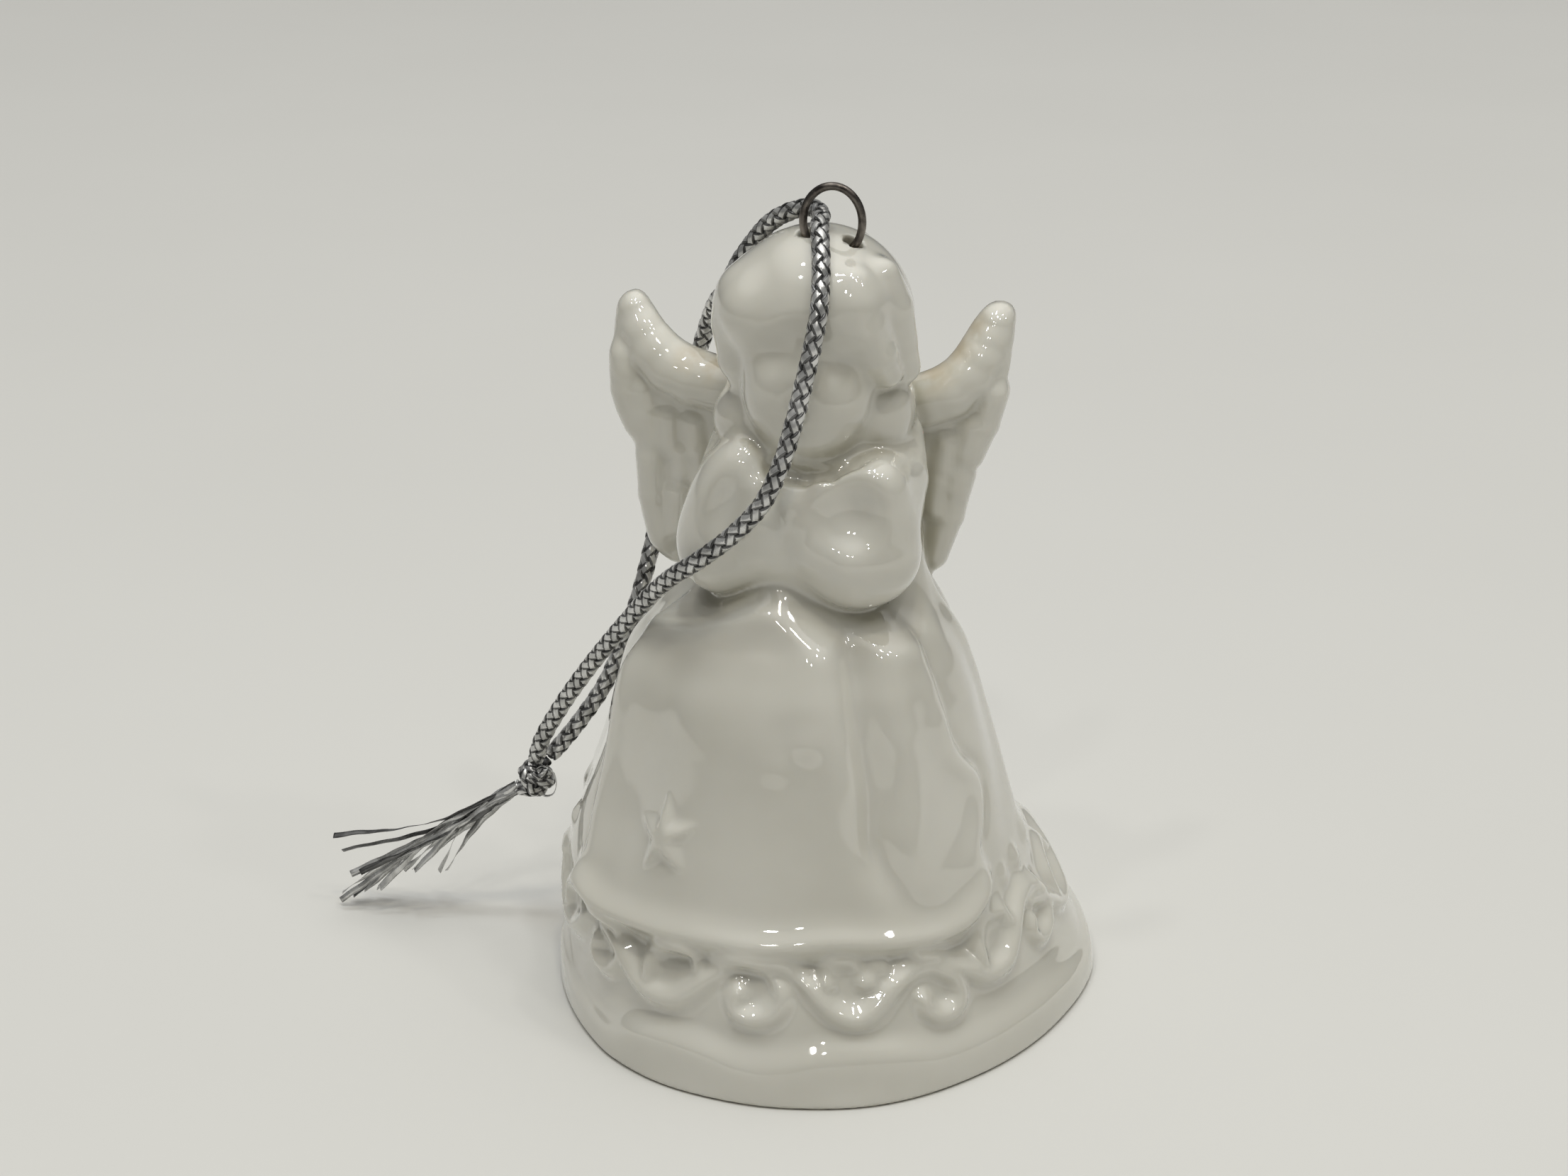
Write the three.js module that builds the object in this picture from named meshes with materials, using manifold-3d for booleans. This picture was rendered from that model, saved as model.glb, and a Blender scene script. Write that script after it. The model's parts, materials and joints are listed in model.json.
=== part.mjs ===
// Porcelain angel bell ornament. The figure's dress is the bell: one hollow glazed casting. A wire ring
// stands in two holes in the crown of the head, a clapper hangs from it on a wire link inside, and a
// braided metallic cord is looped through it, knotted and frayed to a tassel.
// Millimetres, +Z up, the origin under the middle of the rim, the figure facing -Y.

import * as THREE from 'three';
import { mergeVertices } from 'three/addons/utils/BufferGeometryUtils.js';
import Module from 'manifold-3d';

const wasm = await Module();
wasm.setup();

// Driving dimensions.
const RIM_RADIUS = 21.5;          // the mouth of the bell, over the hem
const RIM_INNER = 19.2;           // the mouth, inside the wall
const CROWN_Z = 60.8;             // top of the head
const HEAD_HALF_HEIGHT = 8.3;
const CAVITY_TOP = 59.1;          // top of the hollow, under the crown
const SKIRT_LEAN = -2.2;          // the dress leans to the figure's right above its flared hem
const RING_WIRE = 0.6;
const RING_HALF_WIDTH = 2.155;    // middle of the wire
const RING_HALF_HEIGHT = 2.6;
const RING_CENTRE = { x: 0.37, y: -1.2, z: 61.48 };
const RING_FOOT_RADIUS = 1.2;     // the bend inside the head that carries the clapper
const RING_FOOT_Z = 57.0;         // middle of the wire at the bottom of that bend
const RING_LIFT = 0.9;            // how far the ring rises when the bell hangs from it
const HOLE_CLEARANCE = 0.35;      // round the ring's wire, in the crown
const LINK_WIRE = 0.44;
const LINK_LENGTH = 5.0;          // between the middles of the wires that it joins
const RUNNING_GAP = 0.12;         // between two wires hooked in each other
const CLAPPER_WIRE = 0.6;
const BEAD_RADIUS = 4.0;
const BEAD_Z = 12.0;
const BEAD_BORE_RADIUS = 0.45;
const WING_Y = 5.2;               // the wings' back face at the spine
const WING_SWEEP = 5;             // degrees, back from the figure's own plane
const CORD_DIAMETER = 1.4;
const CORD_SIDES = 8;
const CORD_STEPS = 58;

const PORCELAIN = { color: 0xd9d6c9, roughness: 0.18, metalness: 0.0 };
const OXIDISED_WIRE = { color: 0x3d3933, roughness: 0.42, metalness: 0.9 };
const STEEL_WIRE = { color: 0x8c8c8a, roughness: 0.35, metalness: 0.95 };
const BRAID = { color: 0x9b9c9e, roughness: 0.4, metalness: 0.8 };

const ornament = new THREE.Group();
ornament.name = 'angel_bell_ornament';

function add(name, geometry, finish) {
  const mesh = new THREE.Mesh(geometry, new THREE.MeshStandardMaterial(finish));
  mesh.name = name;
  ornament.add(mesh);
  return mesh;
}

// ---- geometry helpers ----

// Merges a geometry's shared vertices and drops the triangles that have no area.
function welded(geometry) {
  const bare = geometry.clone();
  bare.deleteAttribute('normal');
  bare.deleteAttribute('uv');
  const merged = mergeVertices(bare, 1e-4);
  const corners = merged.index.array;
  const kept = [];
  for (let i = 0; i < corners.length; i += 3) {
    const [a, b, c] = [corners[i], corners[i + 1], corners[i + 2]];
    if (a !== b && b !== c && c !== a) kept.push(a, b, c);
  }
  merged.setIndex(kept);
  return merged;
}

function solid(geometry) {
  const merged = welded(geometry);
  return new wasm.Manifold(new wasm.Mesh({
    numProp: 3,
    vertProperties: new Float32Array(merged.attributes.position.array),
    triVerts: new Uint32Array(merged.index.array),
  }));
}

function geometryOf(manifold) {
  const mesh = manifold.getMesh();
  const geometry = new THREE.BufferGeometry();
  geometry.setAttribute('position', new THREE.BufferAttribute(mesh.vertProperties, 3));
  geometry.setIndex(new THREE.BufferAttribute(mesh.triVerts, 1));
  geometry.computeVertexNormals();
  return geometry;
}

// A solid of revolution about Z from [radius, z] corners, listed upwards along the outside.
function turned(profile, segments) {
  const corners = profile.map(([radius, z]) => new THREE.Vector2(radius, z));
  return new THREE.LatheGeometry(corners, segments).rotateX(Math.PI / 2);
}

// Moves each point sideways by an amount that depends on its height.
function lean(geometry, offset) {
  const place = geometry.attributes.position;
  for (let i = 0; i < place.count; i += 1) {
    const [dx, dy] = offset(place.getZ(i));
    place.setX(i, place.getX(i) + dx);
    place.setY(i, place.getY(i) + dy);
  }
  return geometry;
}

function ellipsoid({ centre, half, tilt = [0, 0, 0], wide = 20, high = 14 }) {
  return new THREE.SphereGeometry(1, wide, high)
    .rotateX(Math.PI / 2)
    .scale(...half)
    .rotateX(THREE.MathUtils.degToRad(tilt[0]))
    .rotateY(THREE.MathUtils.degToRad(tilt[1]))
    .rotateZ(THREE.MathUtils.degToRad(tilt[2]))
    .translate(...centre);
}

// A round rod along a smooth curve through the given points.
function rod(points, diameter, sides, steps) {
  const section = new THREE.Shape();
  for (let i = 0; i < sides; i += 1) {
    const angle = (2 * Math.PI * i) / sides;
    const corner = [diameter / 2 * Math.cos(angle), diameter / 2 * Math.sin(angle)];
    if (i === 0) section.moveTo(...corner);
    else section.lineTo(...corner);
  }
  section.closePath();
  const path = new THREE.CatmullRomCurve3(points, false, 'centripetal');
  return new THREE.ExtrudeGeometry(section, { steps, bevelEnabled: false, extrudePath: path });
}

// ---- the porcelain figure ----

const { smoothstep } = THREE.MathUtils;

function skirtLean(z) {
  return [SKIRT_LEAN * smoothstep(z, 2, 12) + 0.6 * smoothstep(z, 26, 33), 0];
}

function cavityLean(z) {
  return [-2.0 * smoothstep(z, 2, 12) + 1.7 * smoothstep(z, 24, 34), -0.9 * smoothstep(z, 24, 34)];
}

// The dress, from the flat rim up over the hem, the beaded border and the waist to the neck.
function dress() {
  const profile = [
    [0, 0], [RIM_RADIUS - 0.6, 0], [RIM_RADIUS, 0.9], [21.3, 2.4], [20.6, 5.2], [19.9, 7.3],
    [19.1, 9.4], [18.6, 10.3], [18.9, 11.2], [18.0, 12.3], [16.8, 15.5], [15.3, 19.8],
    [13.8, 25.1], [12.9, 27.3], [11.0, 30.0], [9.5, 33], [8.9, 37], [8.3, 41], [7.4, 45],
    [6.6, 49], [0, 51],
  ];
  return lean(turned(profile, 48), skirtLean);
}

// The hollow, open at the mouth and running up inside the waist and the neck to the crown.
function cavity() {
  const profile = [
    [0, -1], [RIM_INNER, -1], [RIM_INNER, 0.8], [18.3, 5], [17.2, 8.2], [15.9, 12], [14.5, 16],
    [12.8, 20.5], [11.1, 25.5], [8.6, 29.5], [6.9, 33], [5.8, 38], [4.9, 43], [4.6, 47],
    [4.7, 52], [4.3, 55], [3.3, 57.4], [2.0, 58.7], [0, CAVITY_TOP],
  ];
  return lean(turned(profile, 40), cavityLean);
}

// One wing: a plate with rounded edges and a thick rolled leading edge, swept back by its turn.
function wing(outline, leading, turn) {
  const corners = outline.map(([x, z]) => new THREE.Vector2(x, z));
  const shape = new THREE.Shape(new THREE.SplineCurve(corners).getPoints(26));
  const options = {
    depth: 1.2, bevelEnabled: true,
    bevelThickness: 0.7, bevelSize: 0.7, bevelOffset: -0.7, bevelSegments: 1,
  };
  const plate = new THREE.ExtrudeGeometry(shape, options)
    .rotateX(Math.PI / 2)
    .rotateZ(THREE.MathUtils.degToRad(turn))
    .translate(0, WING_Y, 0);
  return [plate, ellipsoid(leading)];
}

function wings() {
  const right = wing(
    [[-4, 47], [-8.2, 49.2], [-12.4, 52.2], [-15.7, 54.7], [-17.2, 52.4], [-17.5, 48], [-16.6, 43.6],
      [-15.5, 38.5], [-15.0, 34.2], [-13.2, 31.6], [-9, 33], [-4, 36]],
    { centre: [-12.3, 4.9, 50.6], half: [5.4, 1.7, 1.9], tilt: [0, 33, 0], wide: 12, high: 8 },
    -WING_SWEEP,
  );
  const left = wing(
    [[4, 45], [7.4, 46.6], [9.4, 49.6], [11.6, 53.4], [13.4, 52.2], [13.6, 48], [12.6, 43.6],
      [11.3, 38.5], [9.9, 34.4], [8.3, 31.6], [6, 33], [4, 36]],
    { centre: [9.8, 4.7, 49.9], half: [4.9, 1.7, 1.8], tilt: [0, -55, 0], wide: 12, high: 8 },
    WING_SWEEP,
  );
  return [...right, ...left];
}

function figureLumps() {
  return [
    // the head with its hair, the face, and a curl at its side
    { centre: [-0.8, 0.2, CROWN_Z - HEAD_HALF_HEIGHT], half: [7.3, 7.4, HEAD_HALF_HEIGHT], wide: 26, high: 18 },
    { centre: [-1.2, -2.6, 49.0], half: [5.6, 5.2, 4.8], wide: 18, high: 12 },
    { centre: [5.6, -0.6, 49.9], half: [1.7, 2.4, 2.6], wide: 12, high: 8 },
    // the shoulders, the right and left sleeves, and the joined hands
    { centre: [-1.0, 0.2, 43.0], half: [8.0, 6.6, 5.4], wide: 20, high: 12 },
    { centre: [-7.0, -4.6, 41.0], half: [3.6, 4.5, 5.7], tilt: [0, 8, 0] },
    { centre: [3.3, -4.6, 38.6], half: [4.3, 4.6, 6.1], tilt: [0, -6, 0] },
    { centre: [-1.2, -7.4, 43.3], half: [3.0, 2.2, 2.6], wide: 14, high: 10 },
  ].map(ellipsoid);
}

// The ring's line: round above the crown, in through the two holes, and closed by a bend below.
function ringLine(lift = 0) {
  const at = (x, z) => new THREE.Vector3(RING_CENTRE.x + x, RING_CENTRE.y, z + lift);
  const footCentre = RING_FOOT_Z + RING_FOOT_RADIUS;
  const points = [];
  for (let angle = 255; angle >= 180; angle -= 25) {
    const turn = THREE.MathUtils.degToRad(angle);
    points.push(at(RING_FOOT_RADIUS * Math.cos(turn), footCentre + RING_FOOT_RADIUS * Math.sin(turn)));
  }
  for (let angle = 228; angle >= -48; angle -= 12) {
    const turn = THREE.MathUtils.degToRad(angle);
    points.push(at(RING_HALF_WIDTH * Math.cos(turn), RING_CENTRE.z + RING_HALF_HEIGHT * Math.sin(turn)));
  }
  for (let angle = 0; angle >= -90; angle -= 18) {
    const turn = THREE.MathUtils.degToRad(angle);
    points.push(at(RING_FOOT_RADIUS * Math.cos(turn), footCentre + RING_FOOT_RADIUS * Math.sin(turn)));
  }
  return points;
}

function porcelainBody() {
  const parts = [dress(), ...wings(), ...figureLumps()].map(solid);
  let body = parts.reduce((sum, part) => sum.add(part));
  body = body.subtract(solid(cavity()));
  for (const lift of [0, RING_LIFT / 2, RING_LIFT]) {
    const channel = rod(ringLine(lift), RING_WIRE + 2 * HOLE_CLEARANCE, 8, 34);
    body = body.subtract(solid(channel));
  }
  return geometryOf(body);
}

add('bell_body', porcelainBody(), PORCELAIN);

// ---- the ring and the clapper that hangs from it ----

add('hanging_ring', welded(rod(ringLine(), RING_WIRE, 8, 48)), OXIDISED_WIRE);

const linkArc = RING_WIRE / 2 + RUNNING_GAP + LINK_WIRE / 2;
const linkFoot = RING_FOOT_Z - LINK_LENGTH;                  // middle of the link's lower bend
const eyeArc = CLAPPER_WIRE / 2 + RUNNING_GAP + LINK_WIRE / 2;
const eyeCentre = linkFoot - linkArc;                        // where the clapper's eye turns

// The link: a long wire loop across the ring's foot, its two ends butted in one straight side.
function clapperLink() {
  const at = (y, z) => new THREE.Vector3(RING_CENTRE.x, RING_CENTRE.y + y, z);
  const middle = (RING_FOOT_Z + linkFoot) / 2;
  const points = [at(linkArc, middle + 0.1), at(linkArc, middle + 1.2)];
  for (let angle = 0; angle <= 180; angle += 30) {
    const turn = THREE.MathUtils.degToRad(angle);
    points.push(at(linkArc * Math.cos(turn), RING_FOOT_Z + linkArc * Math.sin(turn)));
  }
  points.push(at(-linkArc, middle));
  for (let angle = 180; angle <= 360; angle += 30) {
    const turn = THREE.MathUtils.degToRad(angle);
    points.push(at(linkArc * Math.cos(turn), linkFoot + linkArc * Math.sin(turn)));
  }
  points.push(at(linkArc, middle - 1.2), at(linkArc, middle - 0.1));
  return rod(points, LINK_WIRE, 8, 44);
}

// The clapper's wire: a hooked eye, a straight shank and a foot turned under the bead.
function clapperWire() {
  const at = (x, z) => new THREE.Vector3(RING_CENTRE.x + x, RING_CENTRE.y, z);
  const points = [];
  for (let angle = -15; angle <= 240; angle += 17) {
    const turn = THREE.MathUtils.degToRad(angle);
    points.push(at(eyeArc * Math.cos(turn), eyeCentre + eyeArc * Math.sin(turn)));
  }
  const footZ = BEAD_Z - BEAD_RADIUS - 0.7;
  points.push(at(-0.08, eyeCentre - 1.0), at(0, eyeCentre - 2.2));
  points.push(at(0, 40), at(0, 30), at(0, 20), at(0, BEAD_Z), at(0, footZ + 1.2));
  points.push(at(0.1, footZ + 0.45), at(0.45, footZ + 0.1), at(1.0, footZ), at(1.9, footZ));
  return rod(points, CLAPPER_WIRE, 8, 96);
}

function clapperBead() {
  const profile = [];
  const start = Math.asin(BEAD_BORE_RADIUS / BEAD_RADIUS);
  const bands = 12;
  for (let i = 0; i <= bands; i += 1) {
    const angle = start + (Math.PI - 2 * start) * (i / bands);
    profile.push([BEAD_RADIUS * Math.sin(angle), -BEAD_RADIUS * Math.cos(angle)]);
  }
  profile.push(profile[0]);
  return turned(profile, 24).translate(RING_CENTRE.x, RING_CENTRE.y, BEAD_Z);
}

add('clapper_link', welded(clapperLink()), STEEL_WIRE);
add('clapper_wire', welded(clapperWire()), STEEL_WIRE);
add('clapper_bead', welded(clapperBead()), PORCELAIN);

// ---- the cord ----

// Its line: from the knot up the front leg, across the face and the crown, through the ring, down
// behind the wing and back to the knot.
const CORD_ROUTE = [
  [-23.6, 2.1, 14.9], [-22.5, 1.3, 17.0], [-20.5, 0.1, 20.5], [-17.8, -1.5, 25.1],
  [-15.1, -3.6, 29.9], [-12.7, -5.9, 33.6], [-10.4, -8.2, 36.1], [-7.6, -10.0, 38.4],
  [-5.2, -10.5, 40.6], [-3.1, -10.7, 43.1], [-1.8, -10.4, 46.0], [-1.05, -9.7, 48.7],
  [-0.45, -8.9, 51.5], [0.1, -8.2, 54.3], [0.4, -7.4, 56.5], [0.35, -6.3, 58.2],
  [0.1, -4.7, 60.0], [-0.22, -3.3, 61.05], [-0.4, -2.25, 61.55], [-0.46, -1.2, 61.8],
  [-0.8, -0.27, 61.93], [-1.45, 0.5, 61.95], [-2.35, 1.1, 61.72], [-3.6, 1.8, 61.1],
  [-5.0, 2.8, 60.0], [-6.3, 3.6, 58.4], [-7.5, 3.8, 56.6], [-8.6, 4.4, 54.3],
  [-9.8, 6.7, 52.6], [-11.2, 9.2, 49.4], [-12.5, 9.2, 44.9], [-13.5, 9.2, 40.6],
  [-14.5, 9.2, 36.5], [-15.1, 8.6, 33.8], [-15.5, 7.1, 31.2], [-16.1, 5.4, 28.2],
  [-17.1, 4.2, 25.0], [-19.1, 3.6, 21.3], [-21.2, 3.3, 17.6], [-22.9, 3.5, 14.7],
];
const KNOT = { centre: [-24.4, 2.9, 12.9], half: [1.4, 1.3, 1.7], tilt: [0, 38, 0], wide: 14, high: 10 };
const TASSEL_START = [-25.6, 2.9, 11.4];
const TASSEL_END = [-39.5, 2.6, 1.9];

function cordLoop() {
  const points = CORD_ROUTE.map((point) => new THREE.Vector3(...point));
  return rod(points, CORD_DIAMETER, CORD_SIDES, CORD_STEPS);
}

// The frayed ends, as one flat fan that widens away from the knot.
function cordTassel() {
  const start = new THREE.Vector3(...TASSEL_START);
  const run = new THREE.Vector3(...TASSEL_END).sub(start);
  const turn = new THREE.Quaternion().setFromUnitVectors(new THREE.Vector3(0, -1, 0), run.clone().normalize());
  return new THREE.CylinderGeometry(0.7, 2.4, run.length(), 12, 4)
    .scale(1, 1, 0.6)
    .applyQuaternion(turn)
    .translate(...start.add(run.multiplyScalar(0.5)));
}

add('cord_loop', welded(cordLoop()), BRAID);
add('cord_knot', welded(ellipsoid(KNOT)), BRAID);
add('cord_tassel', welded(cordTassel()), BRAID);

export default ornament;
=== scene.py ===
"""Porcelain angel bell ornament: the looks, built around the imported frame.

Shapes are worked out in millimetres and written to Blender in metres. The figure faces -Y, +X is its left,
and Z is up from the rim of the bell.
"""

import json
import math

import bpy
import numpy as np
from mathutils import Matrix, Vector


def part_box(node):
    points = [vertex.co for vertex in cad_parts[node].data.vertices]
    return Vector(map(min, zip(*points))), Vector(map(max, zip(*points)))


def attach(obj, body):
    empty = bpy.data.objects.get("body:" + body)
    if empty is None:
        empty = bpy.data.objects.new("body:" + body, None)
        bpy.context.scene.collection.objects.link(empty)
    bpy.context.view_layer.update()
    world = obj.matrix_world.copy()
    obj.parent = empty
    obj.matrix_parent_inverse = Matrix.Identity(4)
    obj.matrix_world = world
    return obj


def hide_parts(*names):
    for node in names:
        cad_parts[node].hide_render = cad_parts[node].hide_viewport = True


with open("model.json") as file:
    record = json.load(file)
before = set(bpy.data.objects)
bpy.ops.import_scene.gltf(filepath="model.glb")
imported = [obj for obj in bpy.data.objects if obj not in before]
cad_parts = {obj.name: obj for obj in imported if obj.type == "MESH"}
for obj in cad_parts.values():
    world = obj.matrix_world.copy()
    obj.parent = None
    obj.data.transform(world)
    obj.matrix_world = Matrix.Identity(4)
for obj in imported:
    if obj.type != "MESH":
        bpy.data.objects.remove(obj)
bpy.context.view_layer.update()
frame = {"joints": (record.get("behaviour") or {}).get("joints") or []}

MM = 0.001
RANDOM = np.random.default_rng(20)


def box_mm(node):
    """A CAD node's lowest and highest corners, in millimetres."""
    low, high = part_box(node)
    return np.array(low) / MM, np.array(high) / MM


# ---------------------------------------------------------------- camera

CAMERA_DISTANCE = 0.230          # from the middle of the rim
CAMERA_ELEVATION = 30.0          # degrees above the table, seen from the rim
CAMERA_AZIMUTH = 9.0             # degrees round to the figure's left
CAMERA_PAN = 9.96                # degrees, the way it looks, from +Y towards -X
CAMERA_TILT = 22.51              # degrees below level
CAMERA_LENS = 65.0               # mm on a 36 mm sensor


def make_camera():
    """The photograph's view, worked out from its geometry."""
    camera = bpy.data.objects.new("camera", bpy.data.cameras.new("camera"))
    bpy.context.scene.collection.objects.link(camera)
    rise, turn = math.radians(CAMERA_ELEVATION), math.radians(CAMERA_AZIMUTH)
    level = CAMERA_DISTANCE * math.cos(rise)
    camera.location = (level * math.sin(turn), -level * math.cos(turn), CAMERA_DISTANCE * math.sin(rise))
    camera.rotation_euler = (math.radians(90 - CAMERA_TILT), 0, math.radians(CAMERA_PAN))
    camera.data.lens = CAMERA_LENS
    camera.data.sensor_width = 36
    camera.data.clip_start = 0.01
    bpy.context.scene.camera = camera


make_camera()

# ---------------------------------------------------------------- mesh helpers


def new_piece(name, points, faces, finishes, body, face_finish=None, normals=None):
    """A mesh object from points in millimetres. face_finish gives each face's place in finishes."""
    mesh = bpy.data.meshes.new(name)
    mesh.from_pydata((np.asarray(points, float) * MM).tolist(), [], [list(map(int, f)) for f in faces])
    for finish in finishes:
        mesh.materials.append(finish)
    mesh.polygons.foreach_set("use_smooth", [True] * len(mesh.polygons))
    if face_finish is not None:
        mesh.polygons.foreach_set("material_index", np.asarray(face_finish, np.int32))
    mesh.update()
    if normals is not None:
        mesh.normals_split_custom_set_from_vertices(normals.tolist())
    piece = bpy.data.objects.new(name, mesh)
    bpy.context.scene.collection.objects.link(piece)
    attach(piece, body)
    return piece


def unit(vectors):
    """The same directions at length 1."""
    return vectors / np.maximum(np.linalg.norm(vectors, axis=-1, keepdims=True), 1e-12)


def run_of(path):
    """Distance along a path at each of its points."""
    return np.concatenate([[0], np.cumsum(np.linalg.norm(np.diff(path, axis=0), axis=1))])


CURVE_STEPS = 24                 # between two given points, before a curve is spaced evenly
CAP_ANGLES = np.radians([75, 50, 25])        # of the rings that round off a tube's end


def smooth_path(points, step):
    """Points about one step apart on a centripetal Catmull-Rom curve through the given ones."""
    points = np.asarray(points, float)
    padded = np.vstack([2 * points[0] - points[1], points, 2 * points[-1] - points[-2]])
    fine = []
    for i in range(len(points) - 1):
        a, b, c, d = padded[i:i + 4]
        knots = np.cumsum([0] + [np.linalg.norm(q - p) ** 0.5 for p, q in ((a, b), (b, c), (c, d))])
        t = np.linspace(knots[1], knots[2], CURVE_STEPS, endpoint=False)[:, None]
        k0, k1, k2, k3 = knots
        ab = (k1 - t) / (k1 - k0) * a + (t - k0) / (k1 - k0) * b
        bc = (k2 - t) / (k2 - k1) * b + (t - k1) / (k2 - k1) * c
        cd = (k3 - t) / (k3 - k2) * c + (t - k2) / (k3 - k2) * d
        abc = (k2 - t) / (k2 - k0) * ab + (t - k0) / (k2 - k0) * bc
        bcd = (k3 - t) / (k3 - k1) * bc + (t - k1) / (k3 - k1) * cd
        fine.append((k2 - t) / (k2 - k1) * abc + (t - k1) / (k2 - k1) * bcd)
    fine = np.vstack(fine + [points[-1:]])
    run = run_of(fine)
    even = np.linspace(0, run[-1], max(2, int(round(run[-1] / step)) + 1))
    return np.stack([np.interp(even, run, fine[:, axis]) for axis in range(3)], axis=1)


def path_frames(path):
    """Tangent and two cross directions at each point, carried along the path without twist."""
    tangent = unit(np.gradient(path, axis=0))
    side = np.zeros_like(path)
    start = np.cross(tangent[0], [0.0, 0.0, 1.0])
    if np.linalg.norm(start) < 0.1:
        start = np.cross(tangent[0], [0.0, 1.0, 0.0])
    side[0] = unit(start)
    for i in range(1, len(path)):
        moved = side[i - 1] - tangent[i] * np.dot(side[i - 1], tangent[i])
        side[i] = unit(moved)
    return tangent, side, np.cross(tangent, side)


def skin(rings, closed=False):
    """Points and faces of rings of points joined in order, with flat ends unless the last meets the first."""
    count, sides = rings.shape[:2]
    faces = []
    for i in range(count if closed else count - 1):
        j = (i + 1) % count
        for a in range(sides):
            b = (a + 1) % sides
            faces.append((i * sides + a, i * sides + b, j * sides + b, j * sides + a))
    if not closed:
        faces.append(tuple(range(sides - 1, -1, -1)))
        faces.append(tuple((count - 1) * sides + a for a in range(sides)))
    return rings.reshape(-1, 3), faces


def outward(turn, side, up):
    """Unit directions at some angles, in radians, from side towards up."""
    turn = np.asarray(turn)[..., None]
    return np.cos(turn) * side + np.sin(turn) * up


def tube(path, radius, sides):
    """Points and faces of a round tube with rounded ends."""
    tangent = unit(np.gradient(path, axis=0))
    first = [path[0] - tangent[0] * radius * math.sin(a) for a in CAP_ANGLES]
    last = [path[-1] + tangent[-1] * radius * math.sin(a) for a in CAP_ANGLES[::-1]]
    taper = radius * np.cos(CAP_ANGLES)
    radii = np.concatenate([taper, np.full(len(path), float(radius)), taper[::-1]])
    path = np.vstack([first, path, last])
    _, side, up = path_frames(path)
    around = np.linspace(0, 2 * math.pi, sides, endpoint=False)
    return skin(path[:, None] + radii[:, None, None] * outward(around, side[:, None], up[:, None]))


def bend(middle, across, up, angles, axis=0):
    """Points on an upright ellipse at some angles in degrees, its width along X (axis 0) or Y (axis 1)."""
    points = []
    for angle in np.radians(list(angles)):
        point = list(middle)
        point[axis] += across * math.cos(angle)
        point[2] += up * math.sin(angle)
        points.append(tuple(point))
    return points


def merged(parts):
    """One list of points and one of faces from several."""
    points, faces, start = [], [], 0
    for part_points, part_faces in parts:
        points.append(np.asarray(part_points, float))
        faces.extend(tuple(start + i for i in face) for face in part_faces)
        start += len(part_points)
    return np.vstack(points), faces


# ---------------------------------------------------------------- material helpers


class Finish:
    """A Principled material and short ways to wire nodes into it."""

    def __init__(self, name, **values):
        self.material = bpy.data.materials.new(name)
        self.material.use_nodes = True
        self.tree = self.material.node_tree
        self.shader = self.tree.nodes["Principled BSDF"]
        self.place = self.tree.nodes.new("ShaderNodeTexCoord").outputs["Object"]
        for key, value in values.items():
            self.shader.inputs[key.replace("_", " ")].default_value = value

    def node(self, kind, inputs=None, **settings):
        """A new node, each input linked to a socket or set to a value."""
        made = self.tree.nodes.new("ShaderNode" + kind)
        for key, value in settings.items():
            setattr(made, key, value)
        for key, value in (inputs or {}).items():
            if isinstance(value, bpy.types.NodeSocket):
                self.tree.links.new(value, made.inputs[key])
            else:
                made.inputs[key].default_value = value
        return made

    def noise(self, scale, detail=3.0, roughness=0.5):
        values = {"Vector": self.place, "Scale": scale, "Detail": detail, "Roughness": roughness}
        return self.node("TexNoise", values).outputs["Fac"]

    def math(self, operation, a, b):
        return self.node("Math", {0: a, 1: b}, operation=operation).outputs[0]

    def times(self, a, b):
        return self.math("MULTIPLY", a, b)

    def step(self, value, low, high, to_low=0.0, to_high=1.0):
        """A smooth change from to_low to to_high as the value goes from low to high."""
        values = {"Value": value, "From Min": low, "From Max": high, "To Min": to_low, "To Max": to_high}
        return self.node("MapRange", values, interpolation_type="SMOOTHSTEP").outputs[0]

    def mix(self, factor, a, b):
        """a where the factor is 0, b where it is 1."""
        made = self.node("Mix", data_type="RGBA")
        for socket, value in ((made.inputs[0], factor), (made.inputs[6], a), (made.inputs[7], b)):
            if isinstance(value, bpy.types.NodeSocket):
                self.tree.links.new(value, socket)
            else:
                socket.default_value = (*value, 1.0) if isinstance(value, tuple) else value
        return made.outputs[2]

    def near(self, point_mm, radius_mm):
        """1 at a point, falling to 0 at the radius."""
        point = tuple(c * MM for c in point_mm)
        away = self.node("VectorMath", {0: self.place, 1: point}, operation="DISTANCE")
        return self.step(away.outputs["Value"], radius_mm * MM, 0.0)

    def nearest(self, marks):
        """The strongest of several marks, each a point and a radius."""
        strongest = 0.0
        for point_mm, radius_mm in marks:
            strongest = self.math("MAXIMUM", strongest, self.near(point_mm, radius_mm))
        return strongest

    def attribute(self, name):
        return self.node("Attribute", attribute_name=name).outputs["Fac"]

    def bump(self, height, distance, strength):
        values = {"Height": height, "Distance": distance, "Strength": strength}
        return self.node("Bump", values).outputs["Normal"]

    def wire(self, **sockets):
        """Links outputs to the shader's inputs and gives the finished material."""
        for key, value in sockets.items():
            self.tree.links.new(value, self.shader.inputs[key.replace("_", " ")])
        return self.material


# ---------------------------------------------------------------- the cord's materials


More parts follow.
